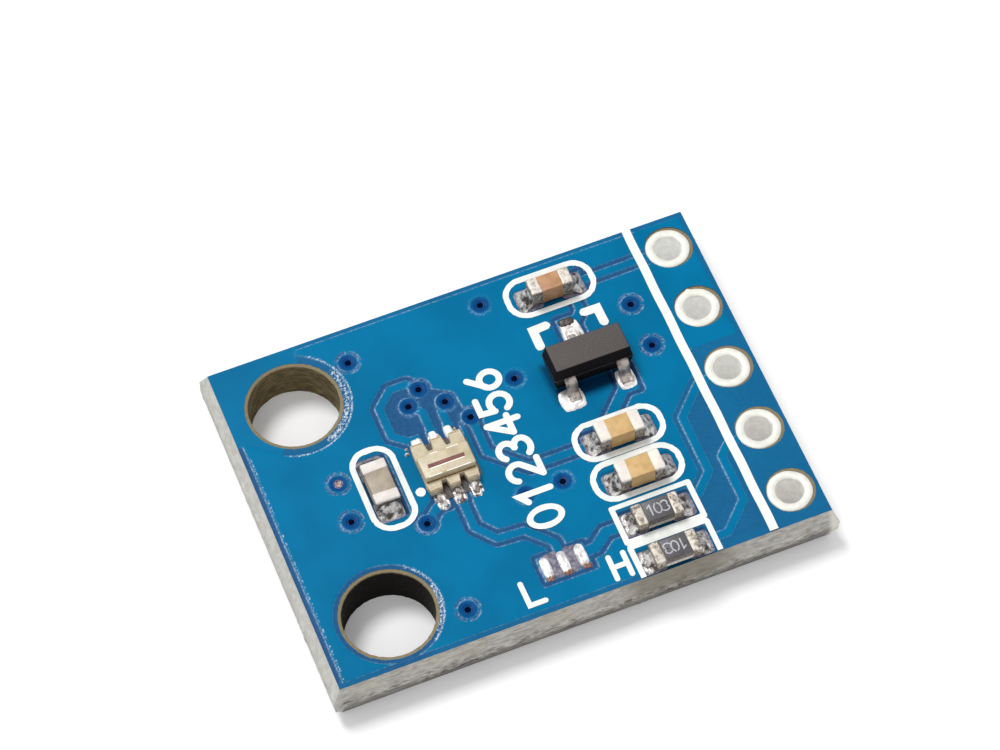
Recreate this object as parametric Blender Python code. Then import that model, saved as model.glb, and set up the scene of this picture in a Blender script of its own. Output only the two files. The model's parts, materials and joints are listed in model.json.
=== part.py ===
import math

import bmesh
import bpy
from mathutils import Matrix, Vector

# Units: every length below is in millimetres, and MM turns it into metres.
MM = 0.001

# Board
BOARD_LENGTH = 17.05
BOARD_WIDTH = 12.54
BOARD_THICKNESS = 1.6
MASK = 0.025
COPPER = 0.035
SCORE_DEPTH = 0.55
SCORE_IN_ENDS = 0.3
SCORE_IN_SIDES = 0.2
SCORE_IN_HEADER_END = 0.12
EDGE_MARGIN = 0.18
CLEARANCE = 0.19
TRACE_WIDTH = 0.27
OUTPUT_WIDTH = 0.34
JUMPER_TRACK = 0.36
WALL = 0.02

# Screw holes
SCREW_HOLE_RADIUS = 1.52
SCREW_MASK_RADIUS = 1.66
SCREW_KEEPOUTS = (1.93, 1.8)
SCREW_HOLES = ((-6.258, 4.097), (-6.132, -4.345))

# Header
PITCH = 2.54
HEADER_INSET = 0.99
HEADER_DRILL = 0.5
HEADER_BORE = 0.455
HEADER_RING = 0.75
HEADER_OPENING = 0.845
HEADER_KEEPOUT = 0.98
HEADER_Y = -0.03

# Vias
VIA_DRILL = 0.185
VIA_BORE = 0.135
VIA_RING = 0.32
VIA_GAP = 0.12
GROUND_VIAS = (
    (-4.03, 4.97),
    (0.86, 5.39),
    (5.53, 3.49),
    (5.57, 1.74),
    (0.855, 2.29),
    (-5.95, 0.75),
    (-6.05, -0.73),
    (-3.73, -5.16),
    (0.855, -1.95),
    (-0.42, -1.95),
)

# Print
INK = 0.02
INK_WIDTH = 0.2
OUTLINE_LONG = 3.2
OUTLINE_SHORT = 1.6
OUTLINE_ROUND = 0.7
FRAME_ROOM = 0.02
FRAME_BAR = 0.4
PRINT_GAP = 0.08
BRACKET_LINE = 0.3
BRACKET_SHIFT = -0.06
BRACKET_SPREAD = 1.33
BRACKET_FAR = 1.41
BRACKET_ARM = 0.8
BRACKET_FEET = (2.95, 3.05)
HEADER_LINE_WIDTH = 0.33
HEADER_LINE_INSET = 1.04

# Chip parts: centre x, centre y, length, width, height, turn in degrees
CAPACITORS = {
    "capacitor_input": (3.2, 4.95, 1.6, 0.8, 0.75, 0),
    "capacitor_supply": (3.21, -1.07, 1.6, 0.76, 0.7, 0),
    "capacitor_output": (3.25, -2.72, 1.6, 0.76, 0.7, 0),
    "capacitor_sensor": (-4.735, 0.02, 1.58, 0.86, 0.6, 90),
}
RESISTORS = {
    "resistor_upper": (3.21, -4.3, 1.6, 0.8, 0.45, 0),
    "resistor_lower": (3.2, -5.79, 1.6, 0.8, 0.45, 0),
}
END_CAP = 0.41
CAP_PROUD = 0.02
CAP_EDGE = 0.05
FILLET = ((0.16, 0.22, 0.0), (0.4, 0.08, 0.02), (0.7, -0.015, 0.06))
GLAZE = 0.03
PAD_REACH = 0.42
PAD_WIDTH = 0.84
PAD_CORNER = 0.1
SEAT = 0.005

# Bridge pads for solder: centres, size
JUMPER_X = (-0.83, -0.23, 0.38)
JUMPER_Y = -4.76
JUMPER_WIDTH = 0.4
JUMPER_LENGTH = 0.88

# Light sensor
SENSOR = (-2.46, 0.06)
SENSOR_LENGTH = 1.8
SENSOR_WIDTH = 1.86
SHELF_HEIGHT = 0.34
BLOCK_WIDTH = 0.92
BLOCK_HEIGHT = 0.58
RIDGE = 0.07
FINGER_PITCH = 0.6
NOTCH_WIDTH = 0.14
NOTCH_DEPTH = 0.32
DIE_LENGTH = 1.24
DIE_WIDTH = 0.16
SENSOR_ROW_SHIFT = 0.03
SENSOR_LEAD_WIDTH = 0.27
SENSOR_PAD_WIDTH = 0.34
SENSOR_LEAD_REACH = 0.52

# Regulator
REGULATOR = (3.34, 1.87)
REGULATOR_LENGTH = 2.9
REGULATOR_WIDTH = 1.3
REGULATOR_HEIGHT = 1.1
REGULATOR_LIFT = 0.06
REGULATOR_LEAD_PITCH = 1.9
REGULATOR_LEAD_WIDTH = 0.42
REGULATOR_LEAD_REACH = 0.55
REGULATOR_LEAD_GAUGE = 0.13
REGULATOR_PAD_WIDTH = 0.66
REGULATOR_PAD_UNDER = 0.13
REGULATOR_PAD_NEAR = 1.0
REGULATOR_PAD_FAR = 1.28
REGULATOR_DRAFT = 0.1

# Levels above the underside
TOP = BOARD_THICKNESS
COPPER_TOP = TOP - MASK
CORE_TOP = COPPER_TOP - COPPER
CORE_BOTTOM = MASK + COPPER

HALF_LENGTH = BOARD_LENGTH / 2
HALF_WIDTH = BOARD_WIDTH / 2
HEADER_X = HALF_LENGTH - HEADER_INSET
PINS = [(HEADER_X, HEADER_Y + PITCH * (2 - i)) for i in range(5)]
ROUND = 24
HEADER_ROUND = 16
SMALL_ROUND = 8

for old in list(bpy.data.objects):
    bpy.data.objects.remove(old, do_unlink=True)

module = bpy.data.collections.new("light_sensor_module")
cutters = bpy.data.collections.new("cutters")
bpy.context.scene.collection.children.link(module)
bpy.context.scene.collection.children.link(cutters)


def material(name, color, roughness, metallic=0.0, coat=0.0):
    made = bpy.data.materials.new(name)
    made.use_nodes = True
    shader = made.node_tree.nodes["Principled BSDF"]
    shader.inputs["Base Color"].default_value = (*color, 1.0)
    shader.inputs["Roughness"].default_value = roughness
    shader.inputs["Metallic"].default_value = metallic
    shader.inputs["Coat Weight"].default_value = coat
    return made


laminate = material("laminate", (0.47, 0.42, 0.27), 0.7)
mask_blue = material("mask_blue", (0.002, 0.19, 0.4), 0.3, coat=0.4)
copper = material("copper", (0.7, 0.33, 0.18), 0.35, metallic=1.0)
tin = material("tin", (0.82, 0.81, 0.78), 0.28, metallic=1.0)
ink = material("ink", (0.86, 0.86, 0.84), 0.6)
dark_resin = material("dark_resin", (0.05, 0.048, 0.05), 0.5)
clear_resin = material("clear_resin", (0.62, 0.54, 0.36), 0.12, coat=0.6)
die_brown = material("die_brown", (0.24, 0.06, 0.04), 0.3)
ceramic_brown = material("ceramic_brown", (0.42, 0.2, 0.08), 0.45)
ceramic_tan = material("ceramic_tan", (0.62, 0.42, 0.2), 0.45)
ceramic_grey = material("ceramic_grey", (0.36, 0.31, 0.22), 0.45)
alumina = material("alumina", (0.75, 0.73, 0.68), 0.5)
glaze = material("glaze", (0.035, 0.035, 0.04), 0.35)


# Outlines, as lists of points in millimetres
def rectangle(x0, y0, x1, y1):
    return [(x0, y0), (x1, y0), (x1, y1), (x0, y1)]


def circle(x, y, radius, steps=ROUND):
    turn = 2 * math.pi / steps
    return [
        (x + radius * math.cos(turn * i), y + radius * math.sin(turn * i))
        for i in range(steps)
    ]


def rounded(x0, y0, x1, y1, radius, steps=4):
    centres = (
        (x1 - radius, y1 - radius, 0),
        (x0 + radius, y1 - radius, 1),
        (x0 + radius, y0 + radius, 2),
        (x1 - radius, y0 + radius, 3),
    )
    points = []
    for x, y, quarter in centres:
        for i in range(steps + 1):
            angle = math.pi / 2 * (quarter + i / steps)
            points.append((x + radius * math.cos(angle), y + radius * math.sin(angle)))
    return points


def stroke(path, width, cap=3):
    """The outline of a line of this width along the path, with mitred bends and round ends."""
    points = [Vector(p) for p in path]
    headings = [(b - a).normalized() for a, b in zip(points, points[1:])]
    half = width / 2
    left = []
    right = []
    for i, point in enumerate(points):
        before = headings[max(i - 1, 0)]
        after = headings[min(i, len(headings) - 1)]
        mean = (before + after).normalized()
        reach = half / max(mean.dot(after), 0.4)
        side = Vector((-mean.y, mean.x)) * reach
        left.append(point + side)
        right.append(point - side)

    def end(centre, heading):
        start = math.atan2(heading.y, heading.x) + math.pi / 2
        return [
            centre
            + half * Vector((math.cos(start - math.pi * k / cap), math.sin(start - math.pi * k / cap)))
            for k in range(1, cap)
        ]

    outline = left + end(points[-1], headings[-1])
    outline += right[::-1] + end(points[0], -headings[0])
    return [tuple(p) for p in outline]


def grown(outline, by):
    """The outline with each side moved outward by this much, or inward where it is negative."""
    if not by:
        return list(outline)
    points = [Vector(p) for p in outline]
    area = sum(a.x * b.y - b.x * a.y for a, b in zip(points, points[1:] + points[:1]))
    sign = 1 if area > 0 else -1
    moved = []
    for i, point in enumerate(points):
        before = (point - points[i - 1]).normalized()
        after = (points[(i + 1) % len(points)] - point).normalized()
        mean = (before + after).normalized()
        out = Vector((mean.y, -mean.x)) * sign
        moved.append(tuple(point + out * by / max(mean.dot(after), 0.4)))
    return moved


def place(points, x, y, degrees):
    turn = math.radians(degrees)
    c, s = math.cos(turn), math.sin(turn)
    return [(x + p[0] * c - p[1] * s, y + p[0] * s + p[1] * c, *p[2:]) for p in points]


# Solids
def finish(name, mesh, look, holder):
    solid = bpy.data.objects.new(name, mesh)
    holder.objects.link(solid)
    if look:
        mesh.materials.append(look)
    if holder is not module:
        solid.hide_render = True
        solid.display_type = "WIRE"
    return solid


def plate(name, outlines, low, high, look=None, holder=None):
    """Flat outlines, nested ones as holes, filled and extruded from one level to the other."""
    curve = bpy.data.curves.new(name, "CURVE")
    curve.dimensions = "2D"
    curve.fill_mode = "BOTH"
    curve.extrude = (high - low) / 2
    for outline in outlines:
        spline = curve.splines.new("POLY")
        spline.points.add(len(outline) - 1)
        for point, (x, y) in zip(spline.points, outline):
            point.co = (x, y, 0.0, 1.0)
        spline.use_cyclic_u = True
    guide = bpy.data.objects.new(name + "_guide", curve)
    cutters.objects.link(guide)
    bpy.context.view_layer.update()
    mesh = bpy.data.meshes.new_from_object(guide.evaluated_get(bpy.context.evaluated_depsgraph_get()))
    bpy.data.objects.remove(guide, do_unlink=True)
    shape = bmesh.new()
    shape.from_mesh(mesh)
    bmesh.ops.remove_doubles(shape, verts=shape.verts, dist=1e-4)
    bmesh.ops.recalc_face_normals(shape, faces=shape.faces)
    bmesh.ops.translate(shape, verts=shape.verts, vec=(0, 0, (low + high) / 2))
    bmesh.ops.scale(shape, verts=shape.verts, vec=(MM, MM, MM))
    shape.to_mesh(mesh)
    shape.free()
    mesh.materials.clear()
    return finish(name, mesh, look, holder or cutters)


def loft(name, rings, look=None, holder=None):
    """A solid through rings of equal point count, each a list of x, y, z."""
    shape = bmesh.new()
    rows = [[shape.verts.new(Vector(p) * MM) for p in ring] for ring in rings]
    for low, high in zip(rows, rows[1:]):
        for i in range(len(low)):
            j = (i + 1) % len(low)
            shape.faces.new((low[i], low[j], high[j], high[i]))
    shape.faces.new(rows[0][::-1])
    shape.faces.new(rows[-1])
    bmesh.ops.recalc_face_normals(shape, faces=shape.faces)
    mesh = bpy.data.meshes.new(name)
    shape.to_mesh(mesh)
    shape.free()
    return finish(name, mesh, look, holder or cutters)


def block(name, size, centre, bevel, look=None, holder=None, turn=0.0):
    """A box of this size with its edges bevelled."""
    shape = bmesh.new()
    bmesh.ops.create_cube(shape, size=MM)
    bmesh.ops.scale(shape, verts=shape.verts, vec=size)
    bmesh.ops.rotate(shape, verts=shape.verts, cent=(0, 0, 0), matrix=Matrix.Rotation(math.radians(turn), 3, "Z"))
    bmesh.ops.translate(shape, verts=shape.verts, vec=Vector(centre) * MM)
    if bevel:
        bmesh.ops.bevel(shape, geom=list(shape.edges), offset=bevel * MM, segments=1, affect="EDGES")
    mesh = bpy.data.meshes.new(name)
    shape.to_mesh(mesh)
    shape.free()
    return finish(name, mesh, look, holder or cutters)


def combine(target, others, operation="DIFFERENCE"):
    """One exact Boolean of the target with all of these objects together, applied at once."""
    group = bpy.data.collections.new(target.name + "_" + operation.lower())
    cutters.children.link(group)
    for other in others:
        cutters.objects.unlink(other)
        group.objects.link(other)
    step = target.modifiers.new(operation.lower(), "BOOLEAN")
    step.operation = operation
    step.solver = "EXACT"
    step.operand_type = "COLLECTION"
    step.collection = group
    bpy.context.view_layer.update()
    graph = bpy.context.evaluated_depsgraph_get()
    result = bpy.data.meshes.new_from_object(target.evaluated_get(graph))
    target.modifiers.clear()
    target.data = result
    for other in others:
        bpy.data.objects.remove(other, do_unlink=True)
    bpy.data.collections.remove(group)
    return target


def level(points, z):
    return [(x, y, z) for x, y, *_ in points]


# Copper nets: paths of their traces, pads and vias
sx, sy = SENSOR
sensor_row = [sx + SENSOR_ROW_SHIFT + FINGER_PITCH * k for k in (-1, 0, 1)]
sensor_top = sy + SENSOR_WIDTH / 2
sensor_foot = sy - SENSOR_WIDTH / 2
rx, ry = REGULATOR


def sensor_pad(i, upper):
    x = sensor_row[i]
    low, high = (sensor_top, sensor_top + SENSOR_LEAD_REACH) if upper else (sensor_foot - SENSOR_LEAD_REACH, sensor_foot)
    return rectangle(x - SENSOR_PAD_WIDTH / 2, low, x + SENSOR_PAD_WIDTH / 2, high)


def chip_pad(spec, side):
    x, y, length, width, _, turn = spec
    reach = length / 2 + PAD_REACH
    half = min(PAD_WIDTH, width + 0.06) / 2
    cut = PAD_CORNER
    inner = length / 2 - END_CAP
    outline = [
        (inner, -half),
        (reach - cut, -half),
        (reach, -half + cut),
        (reach, half - cut),
        (reach - cut, half),
        (inner, half),
    ]
    return place(outline, x, y, turn + (0 if side > 0 else 180))


def regulator_pad(k):
    centre = rx + k * REGULATOR_LEAD_PITCH / 2
    near = ry - REGULATOR_WIDTH / 2 + REGULATOR_PAD_UNDER
    half = REGULATOR_PAD_WIDTH / 2
    if k:
        return rectangle(centre - half, near - REGULATOR_PAD_NEAR, centre + half, near)
    far = ry + REGULATOR_WIDTH / 2 - 0.02
    return rectangle(centre - half, far, centre + half, far + REGULATOR_PAD_FAR)


c_supply = CAPACITORS["capacitor_supply"]
c_input = CAPACITORS["capacitor_input"]
r_upper = RESISTORS["resistor_upper"]
r_lower = RESISTORS["resistor_lower"]
jw = JUMPER_WIDTH / 2
jl = JUMPER_LENGTH / 2
JUMPERS = [rectangle(x - jw, JUMPER_Y - jl, x + jw, JUMPER_Y + jl) for x in JUMPER_X]
top_y = sensor_top + 0.3
foot_y = sensor_foot - 0.3

NETS = {
    "trace_sensor_far_left": (
        TRACE_WIDTH,
        [[(sensor_row[0], top_y), (-3.7, top_y + 0.5), (-3.7, 2.9), (-3.12, 3.45), (-2.55, 3.45), (-2.23, 3.11)]],
        [sensor_pad(0, True)],
        [(-2.23, 3.11)],
    ),
    "trace_sensor_far_middle": (
        TRACE_WIDTH,
        [[(sensor_row[1], top_y), (sensor_row[1], 2.25), (-2.78, 2.62)]],
        [sensor_pad(1, True)],
        [(-2.78, 2.62)],
    ),
    "trace_sensor_far_right": (
        TRACE_WIDTH,
        [[(sensor_row[2], top_y), (sensor_row[2], 2.05), (-1.59, 2.34)]],
        [sensor_pad(2, True)],
        [(-1.59, 2.34)],
    ),
    "trace_supply": (
        TRACE_WIDTH,
        [[(-1.02, 1.47), (-1.02, 0.02), (0.08, -1.04), (c_supply[0] - 1.0, -1.04)]],
        [chip_pad(c_supply, -1)],
        [(-1.02, 1.47)],
    ),
    "trace_regulator_output": (
        OUTPUT_WIDTH,
        [[(rx + 0.95, 0.8), (rx + 0.6, 0.42), (rx + 0.02, -0.16), (rx - 0.3, -0.48)]],
        [regulator_pad(1)],
        [],
    ),
    "trace_sensor_near_left": (
        TRACE_WIDTH,
        [[(sensor_row[0], foot_y), (-3.34, foot_y - 0.16), (-3.79, -1.73)]],
        [sensor_pad(0, False)],
        [(-3.79, -1.73)],
    ),
    "trace_jumper_middle": (
        TRACE_WIDTH,
        [[(sensor_row[1], foot_y), (-2.44, -2.45), (-1.89, -3.12), (-0.97, -3.18), (-0.25, -3.95), (-0.23, -4.6)]],
        [sensor_pad(1, False), JUMPERS[1]],
        [],
    ),
    "trace_jumper_right": (
        JUMPER_TRACK,
        [[(0.38, -4.66), (0.92, -4.63), (1.42, -4.23), (r_upper[0] - 1.0, -4.23)]],
        [JUMPERS[2], chip_pad(r_upper, -1)],
        [],
    ),
    "trace_clock": (
        TRACE_WIDTH,
        [[(r_upper[0] + 1.0, -4.1), (4.72, -4.1), (5.4, -3.42), (5.4, -1.22), (6.36, -0.24), PINS[2]]],
        [chip_pad(r_upper, 1)],
        [],
    ),
    "trace_data": (
        TRACE_WIDTH,
        [[(r_lower[0] + 1.0, -5.75), (5.08, -5.75), (6.02, -4.82), (6.02, -3.05), (6.36, -2.72), PINS[3]]],
        [chip_pad(r_lower, 1)],
        [],
    ),
    "trace_input": (
        TRACE_WIDTH,
        [
            [(c_input[0] + 1.0, 5.0), (5.6, 5.0), PINS[0]],
            [(3.88, c_input[1] - 0.3), (3.88, 3.95), (rx + 0.16, 3.5)],
        ],
        [chip_pad(c_input, 1), regulator_pad(0)],
        [],
    ),
    "jumper_pad_left": (TRACE_WIDTH, [], [JUMPERS[0]], []),
}

# Areas with no copper at all
BARE = [
    *[circle(*hole, radius) for hole, radius in zip(SCREW_HOLES, SCREW_KEEPOUTS)],
    [
        (-HALF_LENGTH - 1, 3.3),
        (-HALF_LENGTH + 0.3, 3.3),
        (-7.3, 2.45),
        (-6.26, 4.0),
        (-5.5, HALF_WIDTH - 0.3),
        (-5.5, HALF_WIDTH + 1),
        (-HALF_LENGTH - 1, HALF_WIDTH + 1),
    ],
    [
        (5.6, -3.4),
        (5.6, -1.3),
        (6.55, -0.35),
        (6.55, 1.1),
        (HALF_LENGTH + 1, 1.1),
        (HALF_LENGTH + 1, -HALF_WIDTH - 1),
        (4.5, -HALF_WIDTH - 1),
        (4.5, -4.4),
    ],
    rectangle(-1.2, -5.38, 0.75, -4.17),
    [
        (-3.48, 1.42),
        (-1.3, 1.42),
        (-1.04, 1.8),
        (-1.13, 2.57),
        (-1.76, 2.94),
        (-2.2, 3.16),
        (-3.02, 3.16),
        (-3.48, 2.75),
    ],
]
KEEP_RINGS = [circle(x, y, HEADER_KEEPOUT, HEADER_ROUND) for x, y in PINS]


def border(by):
    x = HALF_LENGTH - EDGE_MARGIN + by
    y = HALF_WIDTH - EDGE_MARGIN + by
    return rectangle(-x, -y, x, y)


def net_outlines(net, by):
    """The outlines of one net's copper, grown by this much."""
    width, paths, pads, vias = net
    ring = VIA_RING + (min(by, VIA_GAP) if by > WALL else by)
    found = [stroke(path, width + 2 * by) for path in paths]
    found += [grown(pad, by) for pad in pads]
    found += [circle(x, y, ring, SMALL_ROUND) for x, y in vias]
    return found


def solids(name, outlines, low, high):
    return [plate(f"{name}_{i}", [o], low, high) for i, o in enumerate(outlines)]


def pour(name, shrink, low, high, look=None, holder=None):
    """The ground area: the board less its border, the bare areas and the room round each net."""
    made = plate(name, [border(shrink)], low, high, look, holder)
    away = [grown(o, -shrink) for o in BARE + KEEP_RINGS]
    for net in NETS.values():
        away += net_outlines(net, CLEARANCE - shrink)
    return combine(made, solids(name + "_room", away, low - 0.3, high + 0.3))


def drills(name, spots, radius, low, high, steps):
    return plate(name, [circle(x, y, radius, steps) for x, y in spots], low, high)


signal_vias = [spot for net in NETS.values() for spot in net[3]]
all_vias = list(GROUND_VIAS) + signal_vias


def under_pour(name, high):
    """The ground area on the underside, clear of holes, header rings and signal vias."""
    made = plate(name, [border(0.0)], MASK, high)
    far = rectangle(HEADER_X - 0.6, PINS[0][1], HALF_LENGTH + 1, HALF_WIDTH + 1)
    near = rectangle(HEADER_X - 0.6, -HALF_WIDTH - 1, HALF_LENGTH + 1, PINS[-1][1])
    away = [
        drills(name + "_screws", SCREW_HOLES, SCREW_KEEPOUTS[0], -0.5, 0.5, ROUND),
        drills(name + "_header", PINS, HEADER_KEEPOUT, -0.5, 0.5, HEADER_ROUND),
        drills(name + "_vias", signal_vias, VIA_DRILL + CLEARANCE, -0.5, 0.5, SMALL_ROUND),
        *solids(name + "_corner", [far, near], -0.4, 0.4),
    ]
    return combine(made, away)


# Laminate core with scored and snapped edges
long_web = HALF_LENGTH + SCORE_IN_ENDS
header_web = HALF_LENGTH + SCORE_IN_HEADER_END
wide_web = HALF_WIDTH + SCORE_IN_SIDES
web = rectangle(-long_web, -wide_web, header_web, wide_web)
core = loft(
    "board_core",
    [
        level(rectangle(-HALF_LENGTH, -HALF_WIDTH, HALF_LENGTH, HALF_WIDTH), CORE_BOTTOM),
        level(web, SCORE_DEPTH),
        level(web, TOP - SCORE_DEPTH),
        level(rectangle(-HALF_LENGTH, -HALF_WIDTH, HALF_LENGTH, HALF_WIDTH), CORE_TOP),
    ],
    laminate,
    module,
)
combine(
    core,
    [
        drills("screw_drills", SCREW_HOLES, SCREW_HOLE_RADIUS, -0.5, TOP + 0.5, ROUND),
        drills("header_drills", PINS, HEADER_DRILL, -0.5, TOP + 0.5, HEADER_ROUND),
        drills("via_drills", all_vias, VIA_DRILL, -0.5, TOP + 0.5, SMALL_ROUND),
    ],
)

# Ground copper: both pours and the plated barrels between them
ground = pour("ground_copper", 0.0, CORE_TOP, COPPER_TOP, copper, module)
under = under_pour("ground_under", CORE_BOTTOM)
posts = drills("ground_posts", GROUND_VIAS, VIA_DRILL, MASK + 0.01, COPPER_TOP - 0.01, SMALL_ROUND)
combine(ground, [under, posts], "UNION")
combine(ground, [drills("ground_bores", GROUND_VIAS, VIA_BORE, -0.5, TOP + 0.5, SMALL_ROUND)])

# Signal copper, each net with its own vias
for name, net in NETS.items():
    outlines = net_outlines(net, 0.0)
    solid = plate(name, outlines[:1], CORE_TOP, COPPER_TOP, copper, module)
    joined = solids(name + "_part", outlines[1:], CORE_TOP, COPPER_TOP)
    if net[3]:
        joined.append(drills(name + "_post", net[3], VIA_DRILL, CORE_BOTTOM, COPPER_TOP - 0.01, SMALL_ROUND))
    if joined:
        combine(solid, joined, "UNION")
    away = [drills(name + "_flanges", PINS, HEADER_RING, -0.6, TOP + 0.6, HEADER_ROUND)]
    if net[3]:
        away.append(drills(name + "_bore", net[3], VIA_BORE, -0.5, TOP + 0.5, SMALL_ROUND))
    combine(solid, away)

# Header sleeves: a ring on each face and the plated wall between
header_profile = [
    (HEADER_RING, CORE_TOP),
    (HEADER_RING, TOP),
    (HEADER_RING - 0.06, TOP + 0.015),
    (HEADER_BORE + 0.03, TOP + 0.01),
    (HEADER_BORE, TOP - 0.03),
    (HEADER_BORE, 0.0),
    (HEADER_RING, 0.0),
    (HEADER_RING, CORE_BOTTOM),
    (HEADER_DRILL, CORE_BOTTOM),
    (HEADER_DRILL, CORE_TOP),
]
for i, (x, y) in enumerate(PINS):
    shape = bmesh.new()
    row = [shape.verts.new((r * MM, 0, z * MM)) for r, z in header_profile]
    edges = [shape.edges.new((row[k], row[(k + 1) % len(row)])) for k in range(len(row))]
    bmesh.ops.spin(
        shape,
        geom=row + edges,
        cent=(0, 0, 0),
        axis=(0, 0, 1),
        angle=2 * math.pi,
        steps=HEADER_ROUND,
        use_merge=True,
        use_duplicate=False,
    )
    bmesh.ops.remove_doubles(shape, verts=shape.verts, dist=1e-7)
    bmesh.ops.recalc_face_normals(shape, faces=shape.faces)
    bmesh.ops.translate(shape, verts=shape.verts, vec=(x * MM, y * MM, 0))
    mesh = bpy.data.meshes.new(f"header_sleeve_{i + 1}")
    shape.to_mesh(mesh)
    shape.free()
    sleeve = finish(f"header_sleeve_{i + 1}", mesh, tin, module)
    for face in mesh.polygons:
        face.use_smooth = abs(face.normal.z) < 0.5

# Solder mask: a thin skin that steps down where there is no copper
board_outline = rectangle(-HALF_LENGTH, -HALF_WIDTH, HALF_LENGTH, HALF_WIDTH)
mask_top = plate("solder_mask_top", [board_outline], CORE_TOP, CORE_TOP + MASK, mask_blue, module)
raised = [pour("pour_skin", WALL, CORE_TOP + MASK / 2, TOP)]
for name, net in NETS.items():
    raised += solids(name + "_skin", net_outlines(net, WALL), CORE_TOP + MASK / 2, TOP)
combine(mask_top, raised, "UNION")
covered = [pour("pour_under", 0.0, CORE_TOP - 0.2, COPPER_TOP)]
for name, net in NETS.items():
    covered += solids(name + "_under", net_outlines(net, 0.0), CORE_TOP - 0.2, COPPER_TOP)
combine(mask_top, covered)
openings = [
    drills("screw_opening", SCREW_HOLES, SCREW_MASK_RADIUS, CORE_TOP - 0.4, TOP + 0.4, ROUND),
    drills("header_opening", PINS, HEADER_OPENING, CORE_TOP - 0.4, TOP + 0.4, HEADER_ROUND),
    drills("via_opening", all_vias, VIA_BORE + 0.01, CORE_TOP - 0.4, TOP + 0.4, SMALL_ROUND),
]
pads = [chip_pad(spec, side) for spec in [*CAPACITORS.values(), *RESISTORS.values()] for side in (-1, 1)]
pads += [regulator_pad(k) for k in (-1, 0, 1)]
pads += [sensor_pad(i, upper) for i in range(3) for upper in (True, False)]
openings += solids("pad_opening", pads + JUMPERS, COPPER_TOP - 0.01, TOP + 0.4)
combine(mask_top, openings)

mask_bottom = plate("solder_mask_bottom", [board_outline], 0.0, CORE_BOTTOM, mask_blue, module)
under_copy = under_pour("ground_under_copy", CORE_BOTTOM + 0.2)
combine(
    mask_bottom,
    [
        under_copy,
        drills("bottom_screws", SCREW_HOLES, SCREW_MASK_RADIUS, -0.4, 0.4, ROUND),
        drills("bottom_header", PINS, HEADER_OPENING, -0.4, 0.4, HEADER_ROUND),
    ],
)

# White print
INK_TOP = TOP + INK
w = INK_WIDTH


def ring_print(name, x0, y0, x1, y1, radius):
    inner = rounded(x0 + w, y0 + w, x1 - w, y1 - w, radius - w)
    return plate(name, [rounded(x0, y0, x1, y1, radius), inner], TOP, INK_TOP, ink, module)


def chip_outline(name, spec, shift):
    """The outline round a capacitor, as name of a node or of a piece to join."""
    x, y, *_, turn = spec
    long, short = (OUTLINE_LONG / 2, OUTLINE_SHORT / 2)
    if turn:
        long, short = short, long
    cx, cy = x + shift[0], y + shift[1]
    return ring_print(name, cx - long, cy - short, cx + long, cy + short, OUTLINE_ROUND)


chip_outline("outline_input", c_input, (0.05, 0.11))
chip_outline("outline_sensor", CAPACITORS["capacitor_sensor"], (0.1, 0.0))
middle = chip_outline("outline_middle", c_supply, (0.03, 0.1))
OUTPUT_SHIFT = (-0.01, 0.15)
second = chip_outline("outline_output", CAPACITORS["capacitor_output"], OUTPUT_SHIFT)
module.objects.unlink(second)
cutters.objects.link(second)
combine(middle, [second], "UNION")

frame_half = r_upper[2] / 2 + PAD_REACH + FRAME_ROOM + w
frame_left = r_upper[0] - frame_half
frame_right = r_upper[0] + frame_half
frame_top = CAPACITORS["capacitor_output"][1] + OUTPUT_SHIFT[1] - OUTLINE_SHORT / 2 - PRINT_GAP
bar = (r_upper[1] + r_lower[1]) / 2 + FRAME_BAR / 8
frame = plate(
    "outline_resistors",
    [rectangle(frame_left, -HALF_WIDTH, frame_right, frame_top)],
    TOP,
    INK_TOP,
    ink,
    module,
)
frame_room = [
    rectangle(frame_left + w, bar + FRAME_BAR / 2, frame_right - w, frame_top - w),
    rectangle(frame_left + w, -HALF_WIDTH - 1, frame_right - w, bar - FRAME_BAR / 2),
]
combine(frame, solids("frame_room", frame_room, TOP - 0.3, TOP + 0.3))


def bracket(name, side, foot):
    """A corner bracket beyond the regulator's far lead."""
    line = BRACKET_LINE
    outer = rx + BRACKET_SHIFT + side * BRACKET_SPREAD
    far = ry + REGULATOR_WIDTH / 2 + BRACKET_FAR
    outline = [
        (outer, foot),
        (outer - side * line, foot),
        (outer - side * line, far - line),
        (outer - side * BRACKET_ARM, far - line),
        (outer - side * BRACKET_ARM, far),
        (outer, far),
    ]
    plate(name, [outline], TOP, INK_TOP, ink, module)


bracket("bracket_left", -1, BRACKET_FEET[0])
bracket("bracket_right", 1, BRACKET_FEET[1])
line_x = HEADER_X - HEADER_LINE_INSET
half_line = HEADER_LINE_WIDTH / 2
line_end = HALF_WIDTH - 0.02
plate(
    "header_line",
    [rectangle(line_x - half_line, -line_end, line_x + half_line, line_end)],
    TOP,
    INK_TOP,
    ink,
    module,
)


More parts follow.
